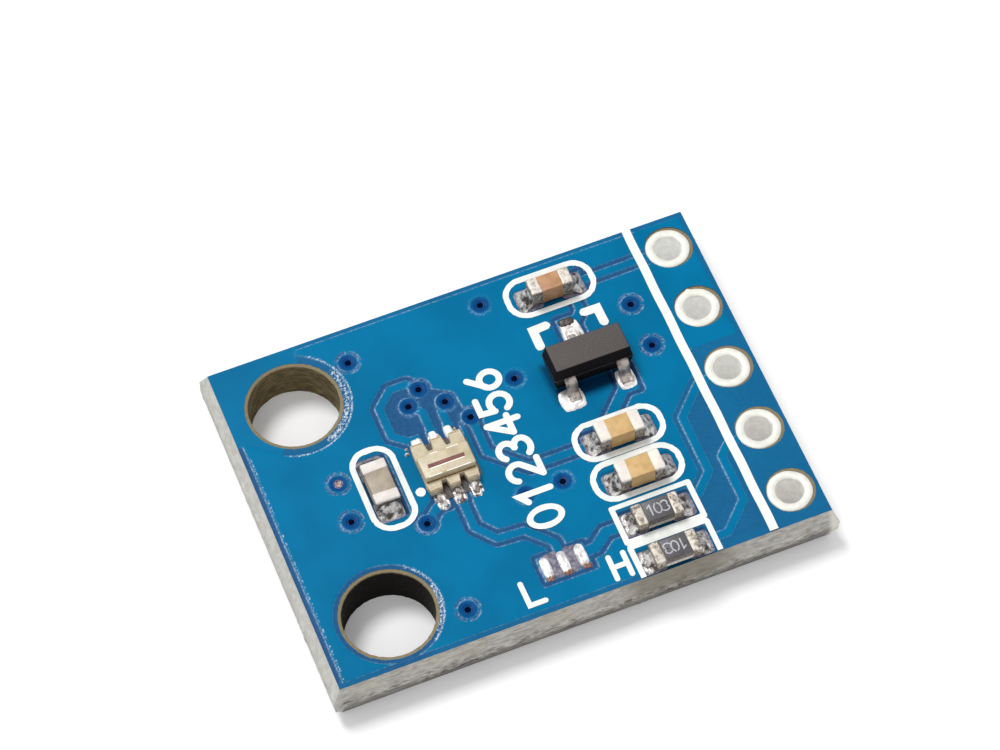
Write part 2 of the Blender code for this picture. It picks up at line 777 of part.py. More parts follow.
# Chip parts
def end_cap(name, spec, side):
    """An end cap with its solder fillet down to the pad."""
    x, y, length, width, height, turn = spec
    angle = turn + (0 if side > 0 else 180)
    pad = chip_pad((0, 0, length, width, height, 0), 1)
    face = length / 2
    half = width / 2
    inner = face - END_CAP

    def ring(z, reach, side_half):
        cut = min(0.1, (reach - inner) * 0.3)
        return [
            (inner, -side_half, z),
            (reach - cut, -side_half, z),
            (reach, -side_half + cut, z),
            (reach, side_half - cut, z),
            (reach - cut, side_half, z),
            (inner, side_half, z),
        ]

    rings = [
        level(pad, COPPER_TOP),
        level(pad, TOP + 0.01),
        *(ring(TOP + rise * height, face + out, half - inset) for rise, out, inset in FILLET),
    ]
    joint = loft(name, [place(r, x, y, angle) for r in rings], tin, module)
    proud = CAP_PROUD
    centre = place([((inner + face + proud) / 2, 0.0)], x, y, angle)[0]
    cap = block(
        name + "_shell",
        (END_CAP + proud, width, height),
        (centre[0], centre[1], TOP + SEAT + height / 2),
        CAP_EDGE,
        turn=angle,
    )
    combine(joint, [cap], "UNION")


def chip(name, spec, body_look):
    x, y, length, width, height, turn = spec
    size = (length - 2 * END_CAP, width - 2 * CAP_PROUD, height - 2 * CAP_PROUD)
    block(name + "_body", size, (x, y, TOP + SEAT + height / 2), 0.0, body_look, module, turn)
    end_cap(name + "_cap_a", spec, -1)
    end_cap(name + "_cap_b", spec, 1)


ceramics = {
    "capacitor_input": ceramic_brown,
    "capacitor_supply": ceramic_tan,
    "capacitor_output": ceramic_tan,
    "capacitor_sensor": ceramic_grey,
}
for name, spec in CAPACITORS.items():
    chip(name, spec, ceramics[name])
for name, spec in RESISTORS.items():
    chip(name, spec, alumina)
    x, y, length, width, height, turn = spec
    block(
        name + "_glaze",
        (length - 2 * END_CAP - 0.02, width - 0.1, GLAZE),
        (x, y, TOP + SEAT + height - CAP_PROUD + GLAZE / 2),
        0.0,
        glaze,
        module,
        turn,
    )

# Light sensor: a shelf with three fingers on each long side and a clear block along the middle
half_l = SENSOR_LENGTH / 2
half_w = SENSOR_WIDTH / 2
shelf = [rectangle(sx - half_l, sy - half_w, sx + half_l, sy + half_w)]
sensor = plate("sensor_body", shelf, TOP, TOP + SHELF_HEIGHT, clear_resin, module)
notches = []
for side in (-1, 1):
    for x in (sensor_row[1] - FINGER_PITCH / 2, sensor_row[1] + FINGER_PITCH / 2):
        edge = sy + side * half_w
        low, high = sorted((edge - side * NOTCH_DEPTH, edge + side * 0.2))
        notches.append(rectangle(x - NOTCH_WIDTH / 2, low, x + NOTCH_WIDTH / 2, high))
combine(sensor, solids("finger_notch", notches, TOP - 0.2, TOP + 1))
b = BLOCK_WIDTH / 2
ridge = RIDGE
lens = loft(
    "sensor_block",
    [
        level(rectangle(sx - half_l, sy - b, sx + half_l, sy + b), TOP + 0.1),
        level(rectangle(sx - half_l, sy - b, sx + half_l, sy + b), TOP + BLOCK_HEIGHT - ridge),
        level(rectangle(sx - half_l, sy - b + ridge, sx + half_l, sy + b - ridge), TOP + BLOCK_HEIGHT),
    ],
)
combine(sensor, [lens], "UNION")
die_outline = rectangle(sx - DIE_LENGTH / 2, sy - DIE_WIDTH / 2, sx + DIE_LENGTH / 2, sy + DIE_WIDTH / 2)
combine(sensor, [plate("die_pocket", [die_outline], TOP - 0.2, TOP + 0.3)])
plate("sensor_die", [die_outline], TOP, TOP + 0.3, die_brown, module)
for row, side in (("far", 1), ("near", -1)):
    for i, word in enumerate(("left", "middle", "right")):
        x = sensor_row[i]
        edge = sy + side * half_w
        tip = edge + side * SENSOR_LEAD_REACH
        lw = SENSOR_LEAD_WIDTH / 2
        pw = SENSOR_PAD_WIDTH / 2
        rings = [
            level(rectangle(x - pw, edge, x + pw, tip), COPPER_TOP),
            level(rectangle(x - pw, edge, x + pw, tip), TOP + 0.02),
            level(rectangle(x - lw, edge, x + lw, tip - side * 0.1), TOP + 0.09),
            level(rectangle(x - lw, edge, x + lw, edge + side * 0.12), TOP + 0.17),
        ]
        loft(f"sensor_lead_{row}_{word}", rings, tin, module)

# Regulator with three bent leads
rl = REGULATOR_LENGTH / 2
rw = REGULATOR_WIDTH / 2
base = TOP + REGULATOR_LIFT
mid = TOP + REGULATOR_HEIGHT / 2
g = REGULATOR_LEAD_GAUGE
REGULATOR_TOP = TOP + REGULATOR_HEIGHT


def body_ring(length, width, z):
    return level(rounded(rx - length, ry - width, rx + length, ry + width, 0.08, 2), z)


loft(
    "regulator_body",
    [
        body_ring(rl - REGULATOR_DRAFT, rw - REGULATOR_DRAFT, base),
        body_ring(rl, rw, mid - g / 2 - 0.02),
        body_ring(rl, rw, mid + g / 2 + 0.02),
        body_ring(rl - REGULATOR_DRAFT * 0.6, rw - REGULATOR_DRAFT, REGULATOR_TOP - 0.04),
        body_ring(rl - REGULATOR_DRAFT, rw - REGULATOR_DRAFT * 1.4, REGULATOR_TOP),
    ],
    dark_resin,
    module,
)
reach = REGULATOR_LEAD_REACH
rise = mid - TOP
bend = [
    (0.0, rise - g / 2),
    (0.0, rise + g / 2),
    (0.14, rise + g / 2),
    (0.22, rise + g / 2 - 0.05),
    (0.32, g + 0.03),
    (0.38, g),
    (reach, g),
    (reach, -0.015),
    (0.3, -0.015),
    (0.2, 0.05),
    (0.1, rise - g / 2),
]
for word, k, side in (("near_left", -1, -1), ("near_right", 1, -1), ("far", 0, 1)):
    x = rx + k * REGULATOR_LEAD_PITCH / 2
    edge = ry + side * rw
    half = REGULATOR_LEAD_WIDTH / 2
    rings = [
        [(px, edge + side * py, TOP + pz) for py, pz in bend] for px in (x - half, x + half)
    ]
    lead = loft("regulator_lead_" + word, rings, tin, module)
    pad = regulator_pad(k)
    xs = [p[0] for p in pad]
    tip = edge + side * reach
    outer = max((p[1] for p in pad), key=lambda v: v * side)
    inner = edge + side * 0.12
    solder = loft(
        f"regulator_solder_{word}",
        [
            level(rectangle(min(xs), inner - side * 0.2, max(xs), outer), COPPER_TOP),
            level(rectangle(min(xs), inner - side * 0.2, max(xs), outer), TOP + 0.02),
            level(rectangle(x - half - 0.04, inner, x + half + 0.04, tip + side * 0.12), TOP + 0.08),
            level(rectangle(x - half - 0.01, inner + side * 0.1, x + half + 0.01, tip + side * 0.02), TOP + g + 0.012),
        ],
    )
    combine(lead, [solder], "UNION")
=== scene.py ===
import json
import math

import bmesh
import bpy
import numpy as np
from mathutils import Matrix, Vector


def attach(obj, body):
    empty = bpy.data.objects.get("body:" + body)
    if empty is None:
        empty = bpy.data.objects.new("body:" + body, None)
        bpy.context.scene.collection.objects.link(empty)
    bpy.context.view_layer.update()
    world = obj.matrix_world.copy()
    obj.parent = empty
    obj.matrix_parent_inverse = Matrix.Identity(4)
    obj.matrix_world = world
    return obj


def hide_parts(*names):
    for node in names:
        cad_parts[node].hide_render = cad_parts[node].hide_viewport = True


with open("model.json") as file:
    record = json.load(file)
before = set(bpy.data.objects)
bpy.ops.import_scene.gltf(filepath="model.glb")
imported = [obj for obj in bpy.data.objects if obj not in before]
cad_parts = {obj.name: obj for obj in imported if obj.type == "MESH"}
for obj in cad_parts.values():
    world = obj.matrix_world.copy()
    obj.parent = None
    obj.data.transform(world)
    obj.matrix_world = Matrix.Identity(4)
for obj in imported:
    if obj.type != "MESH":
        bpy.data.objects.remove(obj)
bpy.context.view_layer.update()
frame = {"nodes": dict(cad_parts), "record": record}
mm = 0.001
bodyName = "root"
rng = np.random.default_rng(11)
print("frame loaded")

# Measurements of the board, in millimetres
board = {"length": 17.05, "width": 12.54, "thick": 1.6, "floor": 0.024, "slope": 0.08}
screws = {"centres": [(-6.258, 4.097), (-6.132, -4.345)], "bore": 1.53, "opening": 1.64, "keepouts": (1.93, 1.8)}
pinX = board["length"] / 2 - 0.99
pins = [(pinX, -0.03 + 2.54 * (2 - i)) for i in range(5)]
header = {"ring": 0.75, "bore": 0.46, "opening": 0.815, "shift": (0.055, 0.03)}
top = board["thick"]


# Shader graphs written as sums
class Sock:
    def __init__(self, graph, socket):
        self.graph = graph
        self.socket = socket

    def math(self, kind, *others):
        sockets = dict(enumerate((self,) + others))
        return self.graph.node("ShaderNodeMath", {"operation": kind}, sockets)

    def __add__(self, other):
        return self.math("ADD", other)

    def __sub__(self, other):
        return self.math("SUBTRACT", other)

    def __mul__(self, other):
        return self.math("MULTIPLY", other)

    def __rsub__(self, other):
        return self.graph.node("ShaderNodeMath", {"operation": "SUBTRACT"}, {0: other, 1: self})

    __radd__ = __add__
    __rmul__ = __mul__

    def most(self, other):
        return self.math("MAXIMUM", other)

    def between(self, low, high):  # 0 below low, 1 above high, smooth in between
        sockets = {0: self, 1: low, 2: high, 3: 0.0, 4: 1.0}
        return self.graph.node("ShaderNodeMapRange", {"interpolation_type": "SMOOTHSTEP"}, sockets)


class Graph:
    def __init__(self, name):
        self.material = bpy.data.materials.new(name)
        self.material.use_nodes = True
        self.tree = self.material.node_tree
        self.tree.nodes.clear()

    def node(self, kind, settings=None, sockets=None, out=0):
        made = self.tree.nodes.new(kind)
        for key, value in (settings or {}).items():
            setattr(made, key, value)
        for key, value in (sockets or {}).items():
            if isinstance(value, Sock):
                self.tree.links.new(value.socket, made.inputs[key])
            elif isinstance(value, tuple) and len(value) == 3 and made.inputs[key].type == "RGBA":
                made.inputs[key].default_value = (*value, 1.0)
            else:
                made.inputs[key].default_value = value
        return Sock(self, made.outputs[out]) if made.outputs else None

    def place(self):
        return self.node("ShaderNodeTexCoord", out=3)

    def noise(self, size, detail=3.0, rough=0.55, where=None):  # size in millimetres
        sockets = {"Vector": where or self.place(), "Scale": 1.0 / (size * mm), "Detail": detail, "Roughness": rough}
        return self.node("ShaderNodeTexNoise", None, sockets)

    def cells(self, size):
        sockets = {"Vector": self.place(), "Scale": 1.0 / (size * mm)}
        return self.node("ShaderNodeTexVoronoi", None, sockets)

    def attribute(self, name):
        return self.node("ShaderNodeAttribute", {"attribute_name": name}, None, 2)

    def mix(self, factor, first, second):
        return self.node("ShaderNodeMix", {"data_type": "RGBA"}, {0: factor, 6: first, 7: second}, 2)

    def tones(self, wave, dark, pale):  # two close colours in soft patches
        return self.mix(wave.between(0.3, 0.7), dark, pale)

    def stretched(self, scale, turn=0.0):
        sockets = {0: self.place(), "Rotation": (0, 0, turn), "Scale": scale}
        return self.node("ShaderNodeMapping", {"vector_type": "POINT"}, sockets)

    def upward(self):  # 1 where the surface faces up
        normal = self.node("ShaderNodeNewGeometry", None, None, 1)
        return self.node("ShaderNodeSeparateXYZ", None, {0: normal}, 2)

    def axis(self, index):
        return self.node("ShaderNodeSeparateXYZ", None, {0: self.place()}, index) * (1 / mm)

    def bump(self, height, depth, strength=1.0, under=None):  # depth in millimetres
        sockets = {"Height": height, "Distance": depth * mm, "Strength": strength}
        if under:
            sockets["Normal"] = under
        return self.node("ShaderNodeBump", None, sockets)

    def finish(self, **inputs):
        shader = self.node("ShaderNodeBsdfPrincipled", None, {k.replace("_", " "): v for k, v in inputs.items()})
        self.node("ShaderNodeOutputMaterial", None, {0: shader})
        return self.material


def rgb(red, green, blue):  # an sRGB colour of 0 to 255 as linear light
    parts = []
    for part in (red, green, blue):
        part = part / 255
        parts.append(part / 12.92 if part <= 0.04045 else ((part + 0.055) / 1.055) ** 2.4)
    return tuple(parts)


# Camera, from the photograph's perspective
camera = {
    "azimuth": -19.459, "elevation": 58.75, "roll": -2.6525, "distance": 132.556,
    "target": (0.4681, 2.5854, 1.6), "focal": 4002.96, "frame": 1000.0, "sensor": 36.0,
}


def makeCamera():
    azimuth, elevation, roll = (math.radians(camera[k]) for k in ("azimuth", "elevation", "roll"))
    back = Vector((
        math.sin(azimuth) * math.cos(elevation),
        -math.cos(azimuth) * math.cos(elevation),
        math.sin(elevation),
    ))
    right = (-back).cross(Vector((0, 0, 1))).normalized()
    up = right.cross(-back)
    turnedRight = math.cos(roll) * right + math.sin(roll) * up
    turnedUp = -math.sin(roll) * right + math.cos(roll) * up
    data = bpy.data.cameras.new("camera")
    data.sensor_width = camera["sensor"]
    data.lens = camera["focal"] * camera["sensor"] / camera["frame"]
    data.clip_start = 0.005
    data.clip_end = 5.0
    obj = bpy.data.objects.new("camera", data)
    bpy.context.scene.collection.objects.link(obj)
    place = (Vector(camera["target"]) + back * camera["distance"]) * mm
    obj.matrix_world = Matrix((
        (turnedRight.x, turnedUp.x, back.x, place.x),
        (turnedRight.y, turnedUp.y, back.y, place.y),
        (turnedRight.z, turnedUp.z, back.z, place.z),
        (0, 0, 0, 1),
    ))
    bpy.context.scene.camera = obj


makeCamera()

# Light: a big soft lamp behind and to the right, a weak one in front, and a pale room
light = {
    "key": {"place": (-0.08, 0.2, 0.41), "size": 0.17, "power": 1.35},
    "fill": {"place": (-0.25, -0.3, 0.35), "size": 0.3, "power": 0.35},
    "room": 0.62,
    "floor": {"color": (0.86, 0.86, 0.87), "glow": 0.09, "half": 1.5, "drop": 0.00002},
}


def makeLights():
    for name in ("key", "fill"):
        spec = light[name]
        data = bpy.data.lights.new(name, "AREA")
        data.shape = "DISK"
        data.size = spec["size"]
        data.energy = spec["power"]
        obj = bpy.data.objects.new(name, data)
        obj.location = spec["place"]
        obj.rotation_euler = (-Vector(spec["place"])).to_track_quat("-Z", "Y").to_euler()
        bpy.context.scene.collection.objects.link(obj)
    world = bpy.data.worlds.new("room")
    bpy.context.scene.world = world
    world.use_nodes = True
    tree = world.node_tree
    tree.nodes.clear()
    path, seen, plain, white, mixed, out = (tree.nodes.new("ShaderNode" + kind) for kind in (
        "LightPath", "Math", "Background", "Background", "MixShader", "OutputWorld"
    ))
    seen.operation = "MAXIMUM"
    for background, strength in ((plain, light["room"]), (white, 1.0)):
        background.inputs["Color"].default_value = (1, 1, 1, 1)
        background.inputs["Strength"].default_value = strength
    for source, target in (
        (path.outputs["Is Camera Ray"], seen.inputs[0]), (path.outputs["Is Transmission Ray"], seen.inputs[1]),
        (seen.outputs[0], mixed.inputs[0]), (plain.outputs[0], mixed.inputs[1]), (white.outputs[0], mixed.inputs[2]),
        (mixed.outputs[0], out.inputs[0]),
    ):
        tree.links.new(source, target)


makeLights()
bpy.context.scene.view_settings.view_transform = "Standard"


def makeFloor():
    spec = light["floor"]
    graph = Graph("floorWhite")
    lit = graph.node("ShaderNodeBsdfDiffuse", None, {"Color": spec["color"]})
    glow = graph.node("ShaderNodeEmission", None, {"Color": (1.0, 1.0, 1.0), "Strength": spec["glow"]})
    both = graph.node("ShaderNodeAddShader", None, {0: lit, 1: glow})
    path = graph.tree.nodes.new("ShaderNodeLightPath")
    seen = Sock(graph, path.outputs["Is Camera Ray"]).most(Sock(graph, path.outputs["Is Transmission Ray"]))
    mixed = graph.node("ShaderNodeMixShader", None, {0: seen, 1: lit, 2: both})
    graph.node("ShaderNodeOutputMaterial", None, {0: mixed})
    mesh = bpy.data.meshes.new("floor")
    half = spec["half"]
    mesh.from_pydata([(-half, -half, 0), (half, -half, 0), (half, half, 0), (-half, half, 0)], [], [(0, 1, 2, 3)])
    mesh.materials.append(graph.material)
    obj = bpy.data.objects.new("floor", mesh)
    obj.location.z = -spec["drop"]
    bpy.context.scene.collection.objects.link(obj)


makeFloor()
print("camera, light and floor set")


# Mesh builders
def placePiece(name, mesh, material, replaces):
    mesh.materials.clear()
    mesh.materials.append(material)
    obj = bpy.data.objects.new(name, mesh)
    bpy.context.scene.collection.objects.link(obj)
    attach(obj, bodyName)
    if replaces:
        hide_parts(*replaces)
    return obj


def addPiece(name, shape, material, slot, replaces=(), smooth=True):
    mesh = bpy.data.meshes.new(name)
    verts = [tuple(float(c) * mm for c in v) for v in shape.verts]
    mesh.from_pydata(verts, [], [tuple(int(i) for i in f) for f in shape.faces])
    mesh.validate()
    if smooth:
        mesh.shade_smooth()
    return placePiece(name, mesh, material, replaces)


class Shape:  # points and faces gathered from several forms
    def __init__(self):
        self.verts = []
        self.faces = []

    def add(self, verts, faces):
        start = len(self.verts)
        self.verts += [tuple(v) for v in verts]
        self.faces += [tuple(i + start for i in f) for f in faces]
        return self

    def rings(self, rows, closed=True, caps=(True, True)):  # quads between rows of equal length
        start = len(self.verts)
        count = len(rows[0])
        for row in rows:
            self.verts += [tuple(v) for v in row]
        steps = count if closed else count - 1
        for r in range(len(rows) - 1):
            for i in range(steps):
                j = (i + 1) % count
                a = start + r * count
                self.faces.append((a + i, a + j, a + count + j, a + count + i))
        if caps[0]:
            self.faces.append(tuple(start + i for i in range(count))[::-1])
        if caps[1]:
            last = start + (len(rows) - 1) * count
            self.faces.append(tuple(last + i for i in range(count)))
        return self

    def lathe(self, profile, centre, steps, wobble=None):  # profile of radius and height
        rows = []
        for radius, height in profile:
            row = []
            for i in range(steps):
                angle = 2 * math.pi * i / steps
                r = radius + (wobble(angle, radius, height) if wobble else 0.0)
                row.append((centre[0] + r * math.cos(angle), centre[1] + r * math.sin(angle), height))
            rows.append(row)
        return self.rings(rows, caps=(False, False))

    def sheet(self, rows):  # an open skin
        return self.rings(rows, closed=False, caps=(False, False))

    def flip(self):
        self.faces = [face[::-1] for face in self.faces]
        return self


def circlePoints(x, y, radius, steps):
    turns = [2 * math.pi * i / steps for i in range(steps)]
    return [(x + radius * math.cos(turn), y + radius * math.sin(turn)) for turn in turns]


def roundedPoints(x0, y0, x1, y1, radius, steps=12):
    points = []
    left, right, near, far = x0 + radius, x1 - radius, y0 + radius, y1 - radius
    corners = ((right, far), (left, far), (left, near), (right, near))
    for quarter, (x, y) in enumerate(corners):
        for i in range(steps + 1):
            angle = math.pi / 2 * (quarter + i / steps)
            points.append((x + radius * math.cos(angle), y + radius * math.sin(angle)))
    return points


def strokePoints(path, width, cap=8):
    points = [Vector(p) for p in path]
    headings = [(b - a).normalized() for a, b in zip(points, points[1:])]
    half = width / 2
    left, right = [], []
    for i, point in enumerate(points):
        before, after = headings[max(i - 1, 0)], headings[min(i, len(headings) - 1)]
        mean = (before + after).normalized()
        side = Vector((-mean.y, mean.x)) * half / max(mean.dot(after), 0.4)
        left.append(point + side)
        right.append(point - side)

    def end(centre, heading):
        start = math.atan2(heading.y, heading.x) + math.pi / 2
        turns = [start - math.pi * k / cap for k in range(1, cap)]
        return [centre + half * Vector((math.cos(t), math.sin(t))) for t in turns]

    outline = left + end(points[-1], headings[-1]) + right[::-1] + end(points[0], -headings[0])
    return [tuple(p) for p in outline]


def flatPiece(name, outlines, low, high, material, replaces=(), bevel=0.0):
    curve = bpy.data.curves.new(name, "CURVE")
    curve.dimensions = "2D"
    curve.fill_mode = "BOTH"
    curve.extrude = (high - low) / 2 - bevel
    curve.bevel_depth = bevel
    curve.bevel_resolution = 1
    curve.offset = -bevel
    for outline in outlines:
        spline = curve.splines.new("POLY")
        spline.points.add(len(outline) - 1)
        for point, (x, y) in zip(spline.points, outline):
            point.co = (x, y, 0.0, 1.0)
        spline.use_cyclic_u = True
    guide = bpy.data.objects.new(name + "Guide", curve)
    bpy.context.scene.collection.objects.link(guide)
    bpy.context.view_layer.update()
    mesh = bpy.data.meshes.new_from_object(guide.evaluated_get(bpy.context.evaluated_depsgraph_get()))
    bpy.data.objects.remove(guide, do_unlink=True)
    shape = bmesh.new()
    shape.from_mesh(mesh)
    bmesh.ops.remove_doubles(shape, verts=shape.verts, dist=1e-4)
    bmesh.ops.translate(shape, verts=shape.verts, vec=(0, 0, (low + high) / 2))
    bmesh.ops.scale(shape, verts=shape.verts, vec=(mm, mm, mm))
    shape.to_mesh(mesh)
    shape.free()
    return placePiece(name, mesh, material, replaces)


# Finishes
# Mask tones: the light tones for the channel rims, the via halos and the screw-hole arcs are painted highlights; the
# under and shade tones are painted shade
maskTones = {
    "teal": (rgb(0, 102, 145), rgb(0, 111, 156)), "bare": (rgb(30, 76, 120), rgb(37, 86, 131)),
    "under": rgb(34, 40, 46), "disc": rgb(10, 56, 118), "rim": rgb(160, 186, 208), "speck": rgb(110, 176, 208),
    "halo": rgb(120, 158, 200), "edgeGlint": rgb(196, 206, 216), "shade": rgb(2, 12, 44),
}


def makeMask():
    graph = Graph("maskBlue")
    inside = graph.attribute("copper")  # distance into the copper, in millimetres
    bareness = graph.attribute("bareness")  # how dark the bare laminate looks
    edgeGlint = graph.attribute("edgeGlint")
    glint = graph.attribute("glint")
    disc = graph.attribute("disc")
    blotch = graph.noise(2.2, 2.0)
    fine = graph.noise(0.09, 3.0, 0.6)
    shake = (graph.noise(0.14, 3.0, 0.6) - 0.5) * 0.03
    covered = (inside + shake).between(-0.025, 0.02)
    teal = graph.tones(blotch, *maskTones["teal"])
    deep = graph.tones(fine, *maskTones["bare"])
    bareTone = graph.mix(bareness, teal, deep)
    base = graph.mix(covered, bareTone, teal)
    base = graph.mix(disc * (fine * 0.5 + 0.55), base, maskTones["disc"])
    # Painted highlight: light lines along the channel edges, strongest on walls that face left
    edge = (inside + shake).between(-0.05, -0.02) * (1.0 - inside.between(-0.005, 0.03))
    broken = graph.noise(0.085, 3.0, 0.75).between(0.42, 0.62)
    base = graph.mix(edge * glint * (broken * 0.6 + 0.1), base, maskTones["rim"])
    specks = graph.noise(0.3, 4.0, 0.8).between(0.74, 0.8) * 0.3
    base = graph.mix(specks, base, maskTones["speck"])
    # Painted highlight: a broken light ring round each via
    halo = graph.attribute("halo")
    base = graph.mix(halo * broken * 0.75, base, maskTones["halo"])
    # Painted glints: light arcs round the screw holes and a dotted line along the left border, broken into dashes by
    # the chips noise
    chips = graph.noise(0.05, 2.0, 0.7).between(0.44, 0.6)
    base = graph.mix((edgeGlint * (chips * 1.1 + 0.12)).between(0.1, 0.6), base, maskTones["edgeGlint"])
    # Painted shadow: the mask darkens round the regulator and each chip
    base = graph.mix(graph.attribute("under"), base, maskTones["shade"])
    ripple = graph.bump(graph.noise(0.35, 2.0, 0.5), 0.004)
    grain = graph.bump(fine, 0.0015, 1.0, ripple)
    glossy = graph.noise(0.25, 2.0) * 0.16 + 0.26
    return graph.finish(Base_Color=base, Roughness=glossy, Normal=grain, Specular_IOR_Level=0.03)


def makeMaskUnder():
    graph = Graph("maskUnder")
    fine = graph.noise(0.09, 3.0, 0.6)
    blotch = graph.noise(2.2, 2.0)
    teal = graph.tones(blotch, *maskTones["teal"])
    # Painted shade: all but the downward faces of the bottom mask are dark grey, as shade under the board's edge
    color = graph.mix(graph.upward().between(-0.9, -0.5), teal, maskTones["under"])
    normal = graph.bump(fine, 0.0015)
    return graph.finish(Base_Color=color, Roughness=fine * 0.16 + 0.26, Normal=normal, Specular_IOR_Level=0.03)


def makeInk():
    graph = Graph("printInk")
    fine = graph.noise(0.06, 3.0, 0.6)
    color = graph.mix(graph.noise(0.5, 2.0).between(0.35, 0.7), rgb(225, 228, 224), rgb(242, 244, 240))
    return graph.finish(Base_Color=color, Roughness=fine * 0.2 + 0.45, Normal=graph.bump(fine, 0.006))


def makeLaminate():
    graph = Graph("laminateEdge")
    z, x, y = graph.axis(2), graph.axis(0), graph.axis(1)
    fibre = graph.stretched((0.45, 0.45, 2.0))
    grain = graph.noise(0.14, 4.0, 0.7, fibre)
    coarse = graph.noise(0.8)
    color = graph.tones(grain, rgb(150, 147, 139), rgb(196, 194, 188))
    color = graph.mix(coarse.between(0.45, 0.7) * 0.3, color, rgb(176, 166, 142))
    web = z.between(0.52, 0.58) * (1.0 - z.between(1.02, 1.08))
    ragged = graph.mix(graph.noise(0.24, 4.0, 0.72, fibre).between(0.36, 0.62), rgb(132, 128, 121), rgb(200, 197, 190))
    color = graph.mix(web, color, ragged)
    # Painted shade: the edge below the middle of the web is darkened, as the undercut under the web
    color = graph.mix((1.0 - (z + (grain - 0.5) * 0.3).between(0.5, 0.86)) * 0.8, color, rgb(100, 97, 92))
    # A darker grey-brown patch on the front edge below the lower resistor
    darkerFrontPatch = x.between(0.9, 1.9) * (1.0 - x.between(4.2, 5.6)) * (1.0 - y.between(-6.3, -6.1)) * z.between(0.6, 1.0)
    color = graph.mix(darkerFrontPatch * (grain * 0.3 + 0.45), color, rgb(104, 94, 72))
    speck = graph.noise(0.3, 3.0, 0.7).between(0.4, 0.6)
    # Painted light: the left side gets an even light grey, as lit by the lamp on the left, in place of the painted
    # shade below
    leftSide = 1.0 - x.between(-8.6, -8.45)
    color = graph.mix(leftSide * 0.85, color, graph.mix(speck, rgb(176, 175, 168), rgb(192, 192, 188)))
    # Painted light: the tip of the right front corner is painted pale
    cornerTip = x.between(8.3, 8.55) * (1.0 - y.between(-6.3, -6.1))
    color = graph.mix(cornerTip * 0.7, color, rgb(236, 234, 220))
    return graph.finish(Base_Color=color, Roughness=0.75, Normal=graph.bump(grain, 0.02))


def makeBoreWall():
    graph = Graph("boreWall")
    squeezed = graph.stretched((1.0, 1.0, 3.0))
    streak = graph.noise(0.4, 4.0, 0.6, squeezed)
    grain = graph.noise(0.12, 3.0, 0.6)
    z, y = graph.axis(2), graph.axis(1)
    color = graph.mix(streak.between(0.35, 0.7), rgb(88, 77, 52), rgb(132, 118, 84))
    color = graph.mix(grain.between(0.6, 0.8) * 0.4, color, rgb(62, 50, 34))
    # Painted shade: the wall of the near screw hole is painted almost black
    color = graph.mix((1.0 - y.between(-1.0, 1.0)) * 0.97, color, rgb(4, 4, 4))
    color = graph.mix(z.between(1.46, 1.555), color, graph.mix(grain, rgb(108, 97, 74), rgb(150, 138, 110)))
    return graph.finish(Base_Color=color, Roughness=0.6, Normal=graph.bump(grain, 0.012), Specular_IOR_Level=0.08)


def makeRingTin():
    graph = Graph("ringTin")
    wave = graph.noise(0.22, 3.0, 0.6)
    z = graph.axis(2)
    inner = 1.0 - z.between(1.5, 1.6)
    color = graph.tones(wave, rgb(219, 218, 209), rgb(232, 231, 223))
    # Painted light: the bore walls are a light grey that glows, standing in for light bounced inside the bores; the
    # nearest bore is a little darker
    near = graph.mix(wave.between(0.35, 0.65), rgb(184, 182, 178), rgb(196, 194, 190))
    far = graph.mix(wave.between(0.35, 0.65), rgb(195, 195, 191), rgb(205, 206, 202))
    wall = graph.mix(graph.axis(1).between(-5.1, 5.1), near, far)
    color = graph.mix(inner, color, wall)
    glow = graph.mix(inner, (0.0, 0.0, 0.0), wall)
    return graph.finish(
        Base_Color=color, Metallic=0.1, Roughness=wave * 0.2 + 0.35, Normal=graph.bump(wave, 0.006),
        Emission_Color=glow, Emission_Strength=0.42,
    )


def makeTin(name, low, high, stain, rough, scale, lumps, metal):
    graph = Graph(name)
    wave = graph.noise(scale, 3.0, 0.55)
    fine = graph.noise(scale * 0.35, 3.0, 0.6)
    color = graph.mix(wave.between(0.35, 0.65), low, high)
    if stain:
        color = graph.mix(graph.noise(scale * 1.6, 3.0, 0.7).between(0.56, 0.72) * stain, color, rgb(96, 78, 62))
    normal = graph.bump(fine, lumps * 0.3, 1.0, graph.bump(wave, lumps))
    return graph.finish(Base_Color=color, Metallic=metal, Roughness=fine * 0.25 + (rough - 0.1), Normal=normal)


def makeCap(name, clean, low, high, split, spread, dirt=0.0):  # clean above the split height
    graph = Graph(name)
    wave = graph.noise(0.15, 3.0, 0.6)
    z = graph.axis(2) - top
    above = (z + (wave - 0.5) * spread).between(split - 0.06, split + 0.06)
    mottled = graph.mix(graph.noise(0.11, 4.0, 0.65).between(0.36, 0.62), low, high)
    bright = graph.tones(graph.noise(0.3, 2.0), tuple(c * 0.86 for c in clean), clean)
    bright = graph.mix(graph.noise(0.24, 3.0, 0.7).between(0.46, 0.6) * dirt, bright, mottled)
    color = graph.mix(above, mottled, bright)
    metal = (1.0 - above) * 0.5
    return graph.finish(Base_Color=color, Metallic=metal, Roughness=above * 0.12 + 0.34, Normal=graph.bump(wave, 0.012))


# Near-black plug colour: painted shade standing in for the dark hole of each via
def makePlugShade():
    graph = Graph("plugShade")
    grain = graph.noise(0.05)
    color = graph.mix(grain, rgb(0, 4, 22), rgb(4, 14, 46))
    return graph.finish(Base_Color=color, Roughness=0.8, Normal=graph.bump(grain, 0.004), Specular_IOR_Level=0.02)


def makeCopper():
    graph = Graph("bareCopper")
    wave = graph.noise(0.4)
    color = graph.tones(wave, rgb(196, 134, 104), rgb(226, 168, 138))
    return graph.finish(Base_Color=color, Metallic=1.0, Roughness=0.35, Normal=graph.bump(wave, 0.004))


